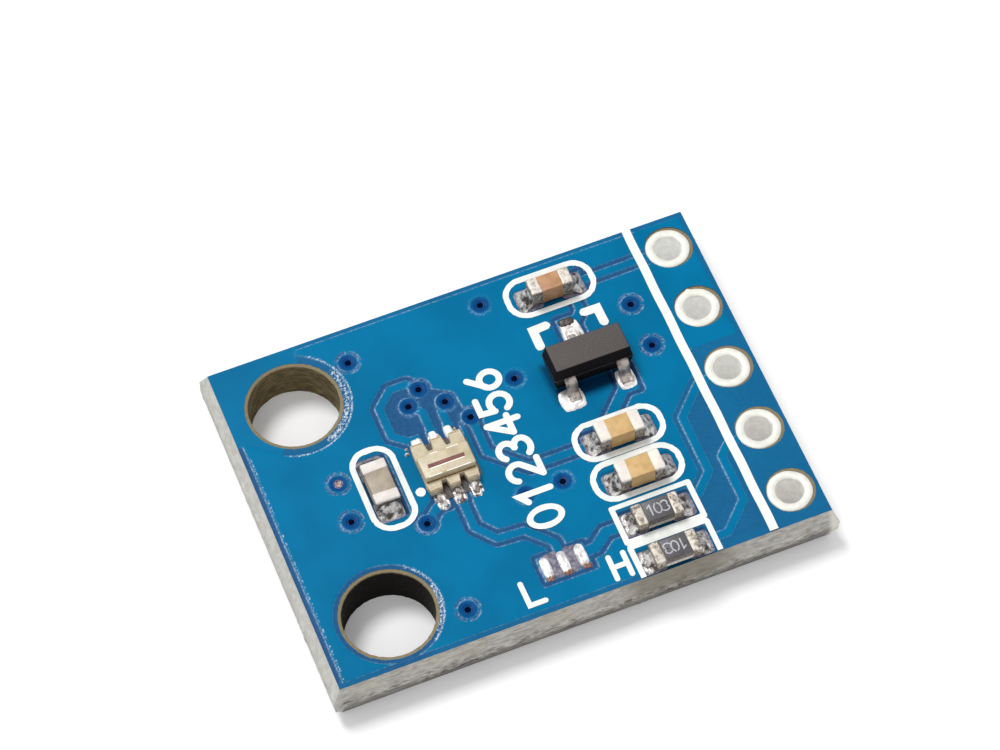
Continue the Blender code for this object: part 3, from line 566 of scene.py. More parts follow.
def makeCeramic(name, low, high, gloss=0.42):
    graph = Graph(name)
    grain = graph.noise(0.05, 3.0, 0.6)
    blotch = graph.noise(0.35)
    color = graph.tones(blotch, low, high)
    color = graph.mix(grain.between(0.55, 0.8) * 0.25, color, tuple(c * 0.6 for c in low))
    return graph.finish(Base_Color=color, Roughness=gloss, Normal=graph.bump(grain, 0.008))


def makeAlumina():
    graph = Graph("alumina")
    grain = graph.noise(0.1, 3.0, 0.65)
    white = graph.tones(grain, rgb(176, 168, 156), rgb(222, 216, 204))
    grey = graph.tones(grain, rgb(74, 70, 68), rgb(112, 106, 100))
    z = graph.axis(2) - top
    color = graph.mix((z + (grain - 0.5) * 0.08).between(0.18, 0.26), white, grey)
    return graph.finish(Base_Color=color, Roughness=0.5, Normal=graph.bump(grain, 0.008))


def makeResin():
    graph = Graph("darkResin")
    grain = graph.noise(0.045, 3.0, 0.65)
    pits = graph.cells(0.12).between(0.0, 0.35)
    scratch = graph.stretched((1.0, 5.0, 1.0), 0.6)
    marks = graph.noise(0.3, 4.0, 0.7, scratch).between(0.62, 0.72)
    color = graph.tones(grain, rgb(78, 74, 72), rgb(96, 91, 89))
    upward = graph.upward()
    # Painted light and shade: faces that look up keep the lighter tones, the sides are painted near black
    color = graph.mix(upward.between(0.7, 0.95), rgb(22, 18, 18), color)
    color = graph.mix(marks * 0.45 * upward, color, rgb(122, 114, 110))
    normal = graph.bump(pits, 0.006, 1.0, graph.bump(grain, 0.012))
    return graph.finish(Base_Color=color, Roughness=grain * 0.2 + 0.42, Normal=normal, Specular_IOR_Level=0.1)


def makeGlaze():
    graph = Graph("resistorGlaze")
    grain = graph.noise(0.06, 3.0, 0.6)
    color = graph.tones(grain, rgb(62, 60, 64), rgb(84, 82, 86))
    return graph.finish(Base_Color=color, Roughness=0.4, Normal=graph.bump(grain, 0.006))


mask = makeMask()
maskUnder = makeMaskUnder()
ink = makeInk()
laminate = makeLaminate()
boreWall = makeBoreWall()
ringTin = makeRingTin()
# Tins: dark and pale tone, stain, roughness, size of the waves, depth of the lumps, metal
solder = makeTin("solder", rgb(70, 65, 62), rgb(232, 228, 224), 0.6, 0.3, 0.2, 0.05, 0.6)
leadTin = makeTin("leadTin", rgb(104, 84, 76), rgb(255, 253, 250), 0.5, 0.3, 0.26, 0.015, 0.3)
leadGrey = makeTin("leadGrey", rgb(120, 108, 104), rgb(196, 186, 180), 0.2, 0.34, 0.25, 0.01, 0.6)
tipWhite = makeTin("tipWhite", rgb(232, 230, 228), rgb(252, 252, 250), 0.0, 0.4, 0.2, 0.01, 0.1)
poolBright = makeTin("poolBright", rgb(206, 200, 196), rgb(255, 253, 251), 0.55, 0.3, 0.26, 0.012, 0.2)
barGlint = makeTin("barGlint", rgb(196, 192, 194), rgb(252, 252, 252), 0.1, 0.3, 0.3, 0.02, 0.3)
capTin = makeCap("capTin", rgb(234, 226, 216), rgb(74, 64, 56), rgb(176, 166, 154), 0.62, 0.24)
capTall = makeCap("capTall", rgb(234, 226, 216), rgb(80, 68, 60), rgb(182, 172, 158), 0.76, 0.2)
capLow = makeCap("capLow", rgb(226, 218, 204), rgb(96, 88, 80), rgb(178, 166, 150), 0.44, 0.12, 1.0)
capGrey = makeCap("capGrey", rgb(222, 214, 208), rgb(52, 46, 40), rgb(122, 114, 104), 0.53, 0.12)
fluxGrey = makeTin("fluxGrey", rgb(78, 78, 100), rgb(128, 124, 136), 0.1, 0.45, 0.12, 0.01, 0.1)
darkMatte = makeTin("darkMatte", rgb(40, 32, 34), rgb(74, 62, 58), 0.0, 0.4, 0.1, 0.01, 0.0)
fluxBrown = makeTin("fluxBrown", rgb(110, 70, 58), rgb(160, 120, 104), 0.0, 0.35, 0.08, 0.02, 0.0)
plugShade = makePlugShade()
plugBright = makeTin("plugBright", rgb(120, 96, 96), rgb(206, 180, 174), 0.0, 0.4, 0.1, 0.01, 0.2)
copper = makeCopper()
ceramicBrown = makeCeramic("ceramicBrown", rgb(168, 122, 84), rgb(190, 144, 106))
ceramicTan = makeCeramic("ceramicTan", rgb(192, 154, 98), rgb(208, 172, 116))
ceramicGrey = makeCeramic("ceramicGrey", rgb(140, 128, 110), rgb(162, 149, 130))
alumina = makeAlumina()
creamResin = makeCeramic("creamResin", rgb(180, 166, 136), rgb(200, 187, 158), 0.26)
dieBrown = makeCeramic("dieBrown", rgb(96, 40, 34), rgb(126, 62, 54), 0.4)
amberLine = makeCeramic("amberLine", rgb(112, 72, 34), rgb(150, 104, 58), 0.4)
glintWhite = makeCeramic("glintWhite", rgb(248, 244, 234), rgb(255, 252, 246), 0.3)
codeInk = makeCeramic("codeInk", rgb(158, 159, 166), rgb(186, 187, 192), 0.6)
resin = makeResin()
glaze = makeGlaze()
print("finishes made")

# Copper layout, in millimetres
layout = {"gap": 0.19, "margin": 0.18, "viaRing": 0.32, "viaGap": 0.12, "viaHole": 0.11}
relief = {"radius": 0.39, "half": 0.055, "turn": 0.6, "spoke": 0.4, "room": 0.1}  # the broken rings of bare laminate
nets = [  # width, tracks, pads, vias
    (0.27, [[(-3.03, 1.2), (-3.7, 1.75), (-3.7, 2.9), (-3.12, 3.45), (-2.55, 3.45), (-2.23, 3.11)]],
        [(-3.2, 1.0, -2.86, 1.5)], [(-2.23, 3.11)]),
    (0.27, [[(-2.43, 1.2), (-2.43, 2.25), (-2.78, 2.62)]], [(-2.6, 1.0, -2.26, 1.5)], [(-2.78, 2.62)]),
    (0.27, [[(-1.83, 1.2), (-1.83, 2.05), (-1.59, 2.34)]], [(-2.0, 1.0, -1.66, 1.5)], [(-1.59, 2.34)]),
    (0.27, [[(-1.02, 1.47), (-1.02, 0.02), (0.08, -1.04), (2.2, -1.04)]],
        [(2.0, -1.45, 2.7, -0.65)], [(-1.02, 1.47)]),
    (0.34, [[(4.29, 0.8), (3.94, 0.42), (3.36, -0.16), (3.04, -0.48)]], [(3.93, 0.35, 4.55, 1.35)], []),
    (0.27, [[(-3.03, -1.15), (-3.3, -1.3), (-3.79, -1.73)]], [(-3.2, -1.4, -2.86, -0.9)], [(-3.79, -1.73)]),
    (0.27, [[(-2.43, -1.15), (-2.44, -2.45), (-1.89, -3.12), (-0.97, -3.18), (-0.25, -3.95), (-0.23, -4.6)]],
        [(-2.6, -1.4, -2.26, -0.9), (-0.43, -5.2, -0.03, -4.32)], []),
    (0.36, [[(0.38, -4.66), (0.92, -4.63), (1.42, -4.23), (2.2, -4.23)]],
        [(0.18, -5.2, 0.58, -4.32), (2.0, -4.72, 2.7, -3.9)], []),
    (0.27, [[(4.2, -4.1), (4.72, -4.1), (5.4, -3.42), (5.4, -1.22), (6.36, -0.24), (7.535, -0.03)]],
        [(3.7, -4.72, 4.43, -3.9)], []),
    (0.27, [[(4.2, -5.75), (5.08, -5.75), (6.02, -4.82), (6.02, -3.05), (6.36, -2.72), (7.535, -2.57)]],
        [(3.7, -6.2, 4.43, -5.38)], []),
    (0.27, [[(4.2, 5.0), (5.6, 5.0), (7.535, 5.05)], [(3.88, 4.6), (3.88, 3.95), (3.5, 3.5)]],
        [(3.7, 4.53, 4.43, 5.37), (2.97, 2.6, 3.63, 3.83)], []),
    (0.27, [], [(-1.03, -5.2, -0.63, -4.32)], []),
]
bare = [  # regions without copper
    [(-9.5, 3.3), (-8.35, 3.3), (-7.3, 2.45), (-6.26, 4.0), (-5.5, 5.97), (-5.5, 7.3), (-9.5, 7.3)],
    [(5.6, -3.4), (5.6, -1.3), (6.55, -0.35), (6.55, 1.1), (9.5, 1.1), (9.5, -7.3), (4.5, -7.3), (4.5, -4.4)],
    [(-1.2, -5.38), (0.75, -5.38), (0.75, -4.17), (-1.2, -4.17)],
    [(-3.48, 1.42), (-1.3, 1.42), (-1.1, 1.8), (-1.2, 2.57), (-1.76, 2.94), (-2.2, 3.16), (-3.02, 3.16), (-3.48, 2.75)],
    [(-5.2, -1.2), (-4.12, -1.2), (-4.12, 1.3), (-5.2, 1.3)],
]
groundVias = {  # place: whether a broken ring of bare laminate lies round it
    (-4.03, 4.97): True, (0.86, 5.39): False, (5.53, 3.49): True, (5.57, 1.74): True, (0.855, 2.29): False,
    (-5.95, 0.75): True, (-6.05, -0.73): True, (-3.73, -5.16): True, (0.855, -1.95): False, (-0.42, -1.95): False,
}
vias = list(groundVias) + [via for net in nets for via in net[3]]

# Chip parts: centre, length, width, height, turn, finish of the body and of the end caps
chips = {
    "capacitor_input": ((3.2, 4.94), 1.5, 0.66, 0.76, 0, ceramicBrown, capTall),
    "capacitor_supply": ((3.21, -1.07), 1.56, 0.78, 0.7, 0, ceramicTan, capTin),
    "capacitor_output": ((3.25, -2.72), 1.56, 0.78, 0.7, 0, ceramicTan, capTin),
    "capacitor_sensor": ((-4.735, 0.02), 1.58, 0.86, 0.6, 90, ceramicGrey, capGrey),
    "resistor_upper": ((3.21, -4.3), 1.6, 0.82, 0.45, 0, alumina, capLow),
    "resistor_lower": ((3.2, -5.8), 1.6, 0.82, 0.45, 0, alumina, capLow),
}
chipShade = {"depth": 0.62, "reach": 0.24, "ends": 0.3}  # painted shade on the mask round each chip


def segmentDistance(grid, a, b):
    a, b = np.array(a, float), np.array(b, float)
    along = np.clip(((grid - a) @ (b - a)) / ((b - a) @ (b - a)), 0, 1)
    away = grid - a - along[..., None] * (b - a)
    return np.hypot(away[..., 0], away[..., 1])


def pathDistance(grid, path):
    return np.min([segmentDistance(grid, a, b) for a, b in zip(path, path[1:])], axis=0)


def polygonDistance(grid, polygon):  # negative inside
    corners = list(polygon) + [polygon[0]]
    away = pathDistance(grid, corners)
    inside = np.zeros(grid.shape[:-1], bool)
    for (x0, y0), (x1, y1) in zip(corners, corners[1:]):
        if y0 != y1:
            spans = (y0 > grid[..., 1]) != (y1 > grid[..., 1])
            inside ^= spans & (grid[..., 0] < (x1 - x0) * (grid[..., 1] - y0) / (y1 - y0) + x0)
    return np.where(inside, -away, away)


def boxDistance(grid, x0, y0, x1, y1):
    return polygonDistance(grid, [(x0, y0), (x1, y0), (x1, y1), (x0, y1)])


def discDistance(grid, centre, radius):
    return np.hypot(grid[..., 0] - centre[0], grid[..., 1] - centre[1]) - radius


def copperField(grid, broken=True):  # distance into the copper, negative over bare laminate
    copperAway, room = [], []
    for width, paths, pads, ends in nets:
        parts = [pathDistance(grid, path) - width / 2 for path in paths]
        parts += [boxDistance(grid, *pad) for pad in pads]
        room += [part - layout["gap"] for part in parts]
        rings = [discDistance(grid, via, layout["viaRing"]) for via in ends]
        room += [ring - layout["viaGap"] for ring in rings]
        copperAway += parts + rings
    pour = np.min(room, axis=0)
    halfX, halfY = board["length"] / 2 - layout["margin"], board["width"] / 2 - layout["margin"]
    pour = np.minimum(pour, -boxDistance(grid, -halfX, -halfY, halfX, halfY))
    for polygon in bare:
        pour = np.minimum(pour, polygonDistance(grid, polygon))
    for centre, radius in zip(screws["centres"], screws["keepouts"]):
        pour = np.minimum(pour, discDistance(grid, centre, radius))
    for via, relieved in groundVias.items():
        if relieved and broken:
            angle = np.arctan2(grid[..., 1] - via[1], grid[..., 0] - via[0])
            spoke = np.abs(np.sin(2 * angle + relief["turn"])) * relief["spoke"]
            ring = np.abs(discDistance(grid, via, relief["radius"])) - relief["half"]
            pour = np.minimum(pour, np.maximum(ring, relief["room"] - spoke))
    return np.maximum(pour, -np.min(copperAway, axis=0))


def openingField(grid):  # negative inside the openings in the mask
    away = [discDistance(grid, centre, screws["opening"]) for centre in screws["centres"]]
    dx, dy = header["shift"]
    away += [discDistance(grid, (x + dx, y + dy), header["opening"]) for x, y in pins]
    away += [discDistance(grid, via, layout["viaHole"]) for via in vias]
    return np.min(away, axis=0)


# Mask: a fine grid that steps down over bare laminate and carries its finish as point values, among them painted glints
# and painted shade
maskForm = {"step": 0.05, "snap": 0.6, "cut": 0.55, "dip": 0.03, "dipReach": 0.06}
# Painted glints: light arcs at the rims of the screw openings
edgeGlintBands = [  # screw hole, radius, first and last angle, width
    (0, 1.76, -1.25, 0.5, 0.1), (0, 1.93, -2.0, 1.0, 0.03), (1, 1.78, -0.95, 0.95, 0.045), (1, 1.68, -0.75, 0.3, 0.05),
]
# Painted glints: a dotted light line along the left border
edgeGlintBorder = {"x": -8.29, "wide": 0.035, "low": -6.1, "high": 2.95, "depth": 0.7}
glintSpec = {"level": 0.42, "right": 0.5, "far": 0.2, "least": 0.12, "probe": 0.01}
cornerShade = {"reach": 0.06, "glint": 0.1, "right": 6.75, "rightGlint": 0.12}  # where the painted glints fade
bendRegion = [(5.3, 1.2), (6.3, 1.2), (6.3, -6.3), (4.4, -6.3), (4.4, -4.2)]
viaTone = {
    "disc": 0.33, "soft": 0.05, "halo": 0.375, "wide": 0.045, "level": 0.35, "swing": 0.65, "least": 0.12,
    "turn": 0.4, "drift": 2.6, "pace": 2.3,
}
regulatorShade = {
    "outline": [(1.86, 0.8), (4.7, 0.8), (4.7, 1.4), (2.0, 1.4), (2.0, 2.35), (1.8, 2.35)],
    "depth": 0.85, "start": 0.62, "reach": 0.3,
}


def maskLayers(flat):  # values of the mask's finish at each point
    x, y = flat.T
    inside = copperField(flat)
    # Painted glints: broken light arcs round the screw openings and a dotted line along the left border
    edgeGlint = np.zeros(len(flat))
    for screw, radius, start, stop, wide in edgeGlintBands:
        centre = screws["centres"][screw]
        angle = np.arctan2(y - centre[1], x - centre[0])
        band = np.exp(-((discDistance(flat, centre, radius) / wide) ** 2))
        band *= (angle > start) & (angle < stop)
        edgeGlint = np.maximum(edgeGlint, band * rng.random(len(flat)) ** 0.7)
    border = np.exp(-(((x - edgeGlintBorder["x"]) / edgeGlintBorder["wide"]) ** 2))
    border *= (y < edgeGlintBorder["high"]) & (y > edgeGlintBorder["low"])
    edgeGlint = np.maximum(edgeGlint, border * edgeGlintBorder["depth"] * rng.random(len(flat)))
    nearScrews = [discDistance(flat, centre, 2.0) < 0 for centre in screws["centres"]]
    corner = polygonDistance(flat, bare[0])
    bareness = np.ones(len(flat))
    for region, shade in (
        (x > 6.2, 0.42), (polygonDistance(flat, bendRegion) < 0, 0.6), (y > 6.0, 0.4), (y < -6.0, 0.5),
        (nearScrews[0], 0.6), (nearScrews[1], 0.85), (corner < 0.03, 0.12),
    ):
        bareness[region] = shade
    # Painted highlight: how strongly each channel edge carries its glint, set by the way the wall faces
    probe = glintSpec["probe"]
    toRight, toFar = ((copperField(flat + shift) - inside) / probe for shift in ((probe, 0), (0, probe)))
    glint = glintSpec["level"] + glintSpec["right"] * toRight - glintSpec["far"] * toFar
    glint = np.clip(glint, glintSpec["least"], 1)
    glint *= np.where(corner < cornerShade["reach"], cornerShade["glint"], 1.0)
    glint *= np.where(x > cornerShade["right"], cornerShade["rightGlint"], 1.0)
    viaAway = [discDistance(flat, via, 0.0) for via in vias]
    disc = np.max([np.clip((viaTone["disc"] - away) / viaTone["soft"], 0, 1) for away in viaAway], axis=0)
    # Painted highlight: a ring round each via, lit on one side
    halo = np.zeros(len(flat))
    for i, ((viaX, viaY), away) in enumerate(zip(vias, viaAway)):
        angle = np.arctan2(y - viaY, x - viaX) + viaTone["turn"] + viaTone["drift"] * math.sin(i * viaTone["pace"])
        band = np.exp(-(((away - viaTone["halo"]) / viaTone["wide"]) ** 2))
        lit = np.clip(viaTone["level"] + viaTone["swing"] * np.cos(angle), viaTone["least"], 1)
        halo = np.maximum(halo, band * lit)
    # Painted shadow round the regulator's near and left sides and round each chip
    away = polygonDistance(flat, regulatorShade["outline"]) / regulatorShade["reach"]
    under = regulatorShade["depth"] * np.clip(regulatorShade["start"] - away, 0, 1) ** 1.6
    for (chipX, chipY), length, width, _, turn, *_ in chips.values():
        a, b = length / 2 + chipShade["ends"], width / 2
        a, b = (b, a) if turn else (a, b)
        gap = boxDistance(flat, chipX - a, chipY - b, chipX + a, chipY + b)
        under = np.maximum(under, chipShade["depth"] * np.clip(1 - gap / chipShade["reach"], 0, 1))
    return {
        "under": under, "halo": halo, "copper": inside, "edgeGlint": edgeGlint,
        "bareness": bareness, "glint": glint, "disc": disc,
    }


def makeMaskTop():
    step = maskForm["step"]
    countX, countY = round(board["length"] / step) + 1, round(board["width"] / step) + 1
    xs = np.linspace(-board["length"] / 2, board["length"] / 2, countX)
    ys = np.linspace(-board["width"] / 2, board["width"] / 2, countY)
    grid = np.stack(np.meshgrid(xs, ys), axis=-1)
    away = openingField(grid)
    gap = 1e-3
    slope = np.stack([(openingField(grid + shift) - away) / gap for shift in ((gap, 0), (0, gap))], -1)
    near = np.abs(away) < step * maskForm["snap"]
    grid = np.where(near[..., None], grid - slope * away[..., None], grid)  # onto the rims of the openings
    rise = np.clip(copperField(grid, False) / board["slope"] + 0.7, 0, 1)
    height = top - board["floor"] + board["floor"] * rise * rise * (3 - 2 * rise)
    viaAway = np.min([discDistance(grid, via, layout["viaHole"]) for via in vias], axis=0)
    height = height - maskForm["dip"] * np.exp(-np.maximum(viaAway, 0) / maskForm["dipReach"])
    index = np.arange(countX * countY).reshape(countY, countX)
    kept = near | (away > -step * maskForm["cut"])
    quads = kept[:-1, :-1] & kept[1:, :-1] & kept[:-1, 1:] & kept[1:, 1:]
    corners = (index[:-1, :-1], index[:-1, 1:], index[1:, 1:], index[1:, :-1])
    faces = np.stack([corner[quads] for corner in corners], 1)
    used = np.unique(faces)
    renumber = np.full(countX * countY, -1)
    renumber[used] = np.arange(len(used))
    verts = np.concatenate([grid, height[..., None]], -1).reshape(-1, 3)[used]
    obj = addPiece("maskTop", Shape().add(verts, renumber[faces]), mask, "mask", ("solder_mask_top",))
    for name, values in maskLayers(grid.reshape(-1, 2)).items():
        layer = obj.data.attributes.new(name, "FLOAT", "POINT")
        layer.data.foreach_set("value", values[used].astype(np.float32))
    print("mask faces", len(faces))


plug = {"profile": [(0.16, 0.012), (0.1, 0.045), (0.05, 0.06), (0.0, 0.062)], "bright": 5}  # radius and depth


# Each via gets a dark plug, painted shade standing in for its hole; one via gets a bright solder plug
def makePlugs():
    plugs, bright = Shape(), Shape()
    for i, via in enumerate(vias):
        target = bright if i == plug["bright"] else plugs
        target.lathe([(radius, top - depth) for radius, depth in plug["profile"]], via, 20)
    addPiece("viaPlugs", plugs, plugShade, "mask")
    addPiece("viaPlugBright", bright, plugBright, "mask")


makeMaskTop()
makePlugs()


# Laminate: scored and snapped edges, bored walls and the bare rims
edge = {
    "score": 0.52, "left": 0.27, "right": 0.1, "sides": 0.19, "burr": 0.08, "foot": 0.07, "step": 0.06,
    "rough": 0.03, "smooth": 0.006, "walk": 0.026, "spread": 81, "lip": 0.035,
}


def edgeLoop(halfX, halfY):  # round the board, as shares of its half sizes
    corners = ((-1, -1), (1, -1), (1, 1), (-1, 1))
    loop = []
    for (x0, y0), (x1, y1) in zip(corners, corners[1:] + corners[:1]):
        count = round((abs(x1 - x0) * halfX + abs(y1 - y0) * halfY) / edge["step"])
        loop += [(x0 + (x1 - x0) * i / count, y0 + (y1 - y0) * i / count) for i in range(count)]
    return loop


def makeCore():
    halfX, halfY = board["length"] / 2, board["width"] / 2
    score, foot, high = edge["score"], edge["foot"], top - edge["lip"]
    webTop = top - score
    heights = [0.0, foot, 0.3, score, score + 0.03] + [score + 0.05 * k for k in range(2, 9)]
    heights += [webTop - 0.03, webTop, 1.3, 1.45, high]
    loop = edgeLoop(halfX, halfY)
    count = len(loop)
    rough = rng.normal(size=(len(heights), count))
    for _ in range(2):
        rough = (rough + np.roll(rough, 1, 1) + np.roll(rough, -1, 1)) / 2.2
    drift = np.cumsum(rng.normal(size=count)) * edge["walk"]  # the web's lower line wanders
    drift -= np.linspace(drift[0], drift[-1], count)
    spread = edge["spread"]
    drift -= np.convolve(np.pad(drift, spread // 2, mode="wrap"), np.ones(spread) / spread, "valid")
    rows = []
    for k, z in enumerate(heights):
        web = score < z < webTop
        out = 1.0
        if z < score:
            out = 0.05 + 0.95 * max(0.0, (z - foot) / (score - foot))
        elif z > webTop:
            out = (high - z) / (high - webTop)
        row = []
        for i, (u, v) in enumerate(loop):
            bump = rough[k, i] * (edge["rough"] if web else edge["smooth"]) * (0.4 if u < -0.99 else 1.0)
            reach = out + (bump / 0.25 if web else bump)
            burr = max(0.0, min(1.0, (-v - 0.9) / 0.1)) * edge["burr"] * (u > 0.99)
            x = u * halfX + u * ((edge["left"] if u < 0 else edge["right"]) + burr) * reach
            fall = drift[i] * (0.3 if abs(u) > 0.99 else 1.0) if z == score else 0.0
            row.append((x, v * halfY + v * edge["sides"] * reach, z + fall + (rough[k, i] * 0.015 if web else 0.0)))
        rows.append(row)
    addPiece("coreEdge", Shape().rings(rows, caps=(False, False)), laminate, "laminate", ("board_core",))


def makeWalls():
    walls = Shape()
    high = top - edge["lip"]
    opening, bore = screws["opening"], screws["bore"]
    for centre in screws["centres"]:
        jitter = rng.normal(size=97)
        profile = [(opening + 0.12, high - 0.002), (bore + 0.012, high - 0.002), (bore, high - 0.014)]
        profile += [(bore, high - high * k / 20) for k in range(1, 21)]
        walls.lathe(profile, centre, 128, lambda a, r, z: 0.004 * jitter[int(a * 15.2) % 97] if r < opening else 0)
    addPiece("boreWalls", walls.flip(), boreWall, "laminate")
    rims = Shape()
    for pin in pins:
        rims.lathe([(1.0, high - 0.002), (0.7, high - 0.002)], pin, 64)
    addPiece("headerRims", rims.flip(), boreWall, "laminate")


makeCore()
makeWalls()


# Header rings with their plated bores
ringForm = {"low": 0.012, "shoulder": 1.54, "rim": 1.57, "levels": 8, "nib": 1, "nibSize": 0.06, "nibTurn": 1.62}


def ringProfile():
    ring, bore, rim, levels = header["ring"], header["bore"], ringForm["rim"], ringForm["levels"]
    profile = [
        (ring, ringForm["shoulder"]), (ring + 0.005, 1.585), (ring - 0.01, 1.607), (ring - 0.05, 1.622),
        (ring - 0.12, 1.63), (bore + 0.12, 1.628), (bore + 0.05, 1.618), (bore + 0.015, 1.6), (bore, rim),
    ]
    profile += [(bore, rim - 1.54 * k / levels) for k in range(1, levels + 1)]
    return profile + [(bore + 0.03, ringForm["low"]), (ring - 0.03, 0.008), (ring, 0.03)]


def makeRings():
    for i, centre in enumerate(pins):
        phase = rng.random(3) * 6.28
        bulge = ringForm["nibSize"] if i == ringForm["nib"] else 0.0

        def wobble(angle, radius, height):
            free = 0.006 * math.sin(3 * angle + phase[0]) + 0.004 * math.sin(7 * angle + phase[1])
            if radius > header["ring"] - 0.06:
                free += bulge * math.exp(-((angle - ringForm["nibTurn"]) / 0.09) ** 2)
            return free

        shape = Shape().lathe(ringProfile(), centre, 96, wobble).flip()
        addPiece(f"headerRing{i + 1}", shape, ringTin, "tin", (f"header_sleeve_{i + 1}",))


makeRings()
print("board built")


# White print: outlines, brackets, the header line and plain marks
printing = {"width": 0.2, "thick": 0.02, "shake": 0.006, "bracket": 0.31, "mark": 0.18}
ovals = {  # box, radius of the corners, the CAD nodes that it replaces
    "printInput": ((1.65, 4.25, 4.85, 5.88), 0.72, ("outline_input",)),
    "printSensor": ((-5.43, -1.6, -3.84, 1.65), 0.7, ("outline_sensor",)),
    "printSupply": ((1.66, -1.75, 4.83, -0.19), 0.7, ("outline_middle",)),
    "printOutput": ((1.65, -3.36, 4.83, -1.79), 0.72, ()),
}
upperFrame = [roundedPoints(1.82, -5.0, 4.7, -3.45, 0.1, 4), roundedPoints(2.0, -4.79, 4.52, -3.63, 0.03, 3)]
lowerFrame = [
    (1.84, -6.25), (1.82, -5.14), (1.86, -5.02), (1.95, -4.97), (4.58, -4.97), (4.66, -5.02), (4.7, -5.12),
    (4.7, -6.25), (4.51, -6.25), (4.51, -5.17), (2.02, -5.17), (2.02, -6.25),
]
brackets = {"Left": [(2.11, 3.1), (2.11, 3.76), (2.58, 3.78)], "Right": [(4.45, 3.18), (4.44, 3.78), (3.97, 3.78)]}
markLow = [(-1.85, -4.97), (-1.84, -5.81), (-1.3, -5.81)]
markHigh = [[(1.13, -5.15), (1.12, -5.98)], [(1.64, -5.15), (1.64, -5.98)], [(1.13, -5.55), (1.64, -5.55)]]


def shaken(points):
    noise = rng.normal(size=(len(points), 2)) * printing["shake"]
    return [(x + a, y + b) for (x, y), (a, b) in zip(points, noise)]


def addInk(name, outlines, replaces=(), drop=0.0):
    return flatPiece(name, outlines, top, top + printing["thick"] - drop, ink, replaces)


def makePrint():
    width = printing["width"]
    for name, ((x0, y0, x1, y1), radius, replaces) in ovals.items():
        inner = roundedPoints(x0 + width, y0 + width, x1 - width, y1 - width, radius - width)
        addInk(name, [shaken(outline) for outline in (roundedPoints(x0, y0, x1, y1, radius), inner)], replaces)
    addInk("printUpperFrame", [shaken(outline) for outline in upperFrame], ("outline_resistors",))
    addInk("printLowerFrame", [lowerFrame], (), 0.002)
    for side, path in brackets.items():
        outline = shaken(strokePoints(path, printing["bracket"]))
        addInk(f"print{side}Bracket", [outline], ("bracket_" + side.lower(),))
    near = [(6.345 + 0.008 * math.sin(y * 3.1), y) for y in np.linspace(-6.24, 6.25, 60)]
    addInk("printLine", [near + [(x + 0.3, y) for x, y in near[::-1]]], ("header_line",))
    addInk("printDot", [shaken(circlePoints(-3.57, -0.575, 0.165, 40))])
    addInk("printMarkL", [strokePoints(markLow, printing["mark"])])
    for i, path in enumerate(markHigh):
        addInk(f"printMarkH{i + 1}", [strokePoints(path, printing["mark"])], (), 0.001 * i)


def arc(x, y, rx, ry, start, stop, steps=14):  # angles in degrees
    turns = [math.radians(start + (stop - start) * i / steps) for i in range(steps + 1)]
    return [(x + rx * math.cos(t), y + ry * math.sin(t)) for t in turns]


# Plain numbers 0 to 6 as strokes in a box one high and 0.62 wide
digits = {
    "0": [arc(0.31, 0.5, 0.31, 0.5, 90, 450, 28)],
    "1": [[(0.1, 0.8), (0.36, 1.0), (0.36, 0.0)]],
    "2": [arc(0.31, 0.7, 0.3, 0.3, 160, -30), [(0.57, 0.55), (0.04, 0.0)], [(0.04, 0.0), (0.62, 0.0)]],
    "3": [arc(0.28, 0.74, 0.28, 0.26, 150, -80), arc(0.28, 0.25, 0.32, 0.25, 80, -150)],
    "4": [[(0.46, 0.0), (0.46, 1.0)], [(0.46, 1.0), (0.0, 0.3)], [(0.0, 0.3), (0.64, 0.3)]],
    "5": [[(0.58, 1.0), (0.08, 1.0), (0.04, 0.55)], arc(0.29, 0.32, 0.31, 0.32, 120, -150)],
    "6": [[(0.5, 0.98), (0.1, 0.5)], arc(0.31, 0.31, 0.29, 0.31, 90, 450, 24)],
}


def numberPaths(text, x, y, size, pitch, turn):  # strokes of the text, its base line starting at x, y
    c, s = math.cos(math.radians(turn)), math.sin(math.radians(turn))
    for place, letter in enumerate(text):
        for path in digits[letter]:
            points = [(px * size + place * pitch, py * size) for px, py in path]
            yield [(x + c * px - s * py, y + s * px + c * py) for px, py in points]


numberRow = {"text": "0123456", "x": 0.4, "y": -3.3, "size": 1.08, "pitch": 0.92, "turn": 90}
numberLine = 0.22


def makeNumbers():
    for i, path in enumerate(numberPaths(**numberRow)):
        outlines = [strokePoints(path, numberLine)]
        if (Vector(path[0]) - Vector(path[-1])).length < 0.02:  # a closed stroke, with a hole in it
            path = path[:-1]
            centre = Vector((sum(p[0] for p in path), sum(p[1] for p in path))) / len(path)
            outlines = []
            for reach in (numberLine / 2, -numberLine / 2):
                outlines.append([tuple(Vector(p) + (Vector(p) - centre).normalized() * reach) for p in path])
        addInk(f"printNumber{i + 1}", outlines, (), 0.001 * (i % 3))


makePrint()
makeNumbers()
print("print laid")


# Chip parts with their end caps and solder
seat = 0.012


def softBox(x0, y0, z0, x1, y1, z1, radius, steps):  # rows of a box with rounded edges
    rows = []
    size = min(radius, (x1 - x0) / 2.05, (y1 - y0) / 2.05, (z1 - z0) / 2.05)
    bends = [math.pi / 2 * k / steps for k in range(steps + 1)]
    levels = [(z0 + size * (1 - math.cos(b)), size * (1 - math.sin(b))) for b in bends]
    levels += [(z1 - size * (1 - math.cos(b)), size * (1 - math.sin(b))) for b in bends[::-1]]
    for z, inset in levels:
        corner = max(size - inset, size * 0.15)
        outline = roundedPoints(x0 + inset, y0 + inset, x1 - inset, y1 - inset, corner, steps)
        rows.append([(x, y, z) for x, y in outline])
    return rows


def turned(points, centre, turn):
    c, s = math.cos(math.radians(turn)), math.sin(math.radians(turn))
    return [(centre[0] + c * x - s * y, centre[1] + s * x + c * y, z) for x, y, z in points]


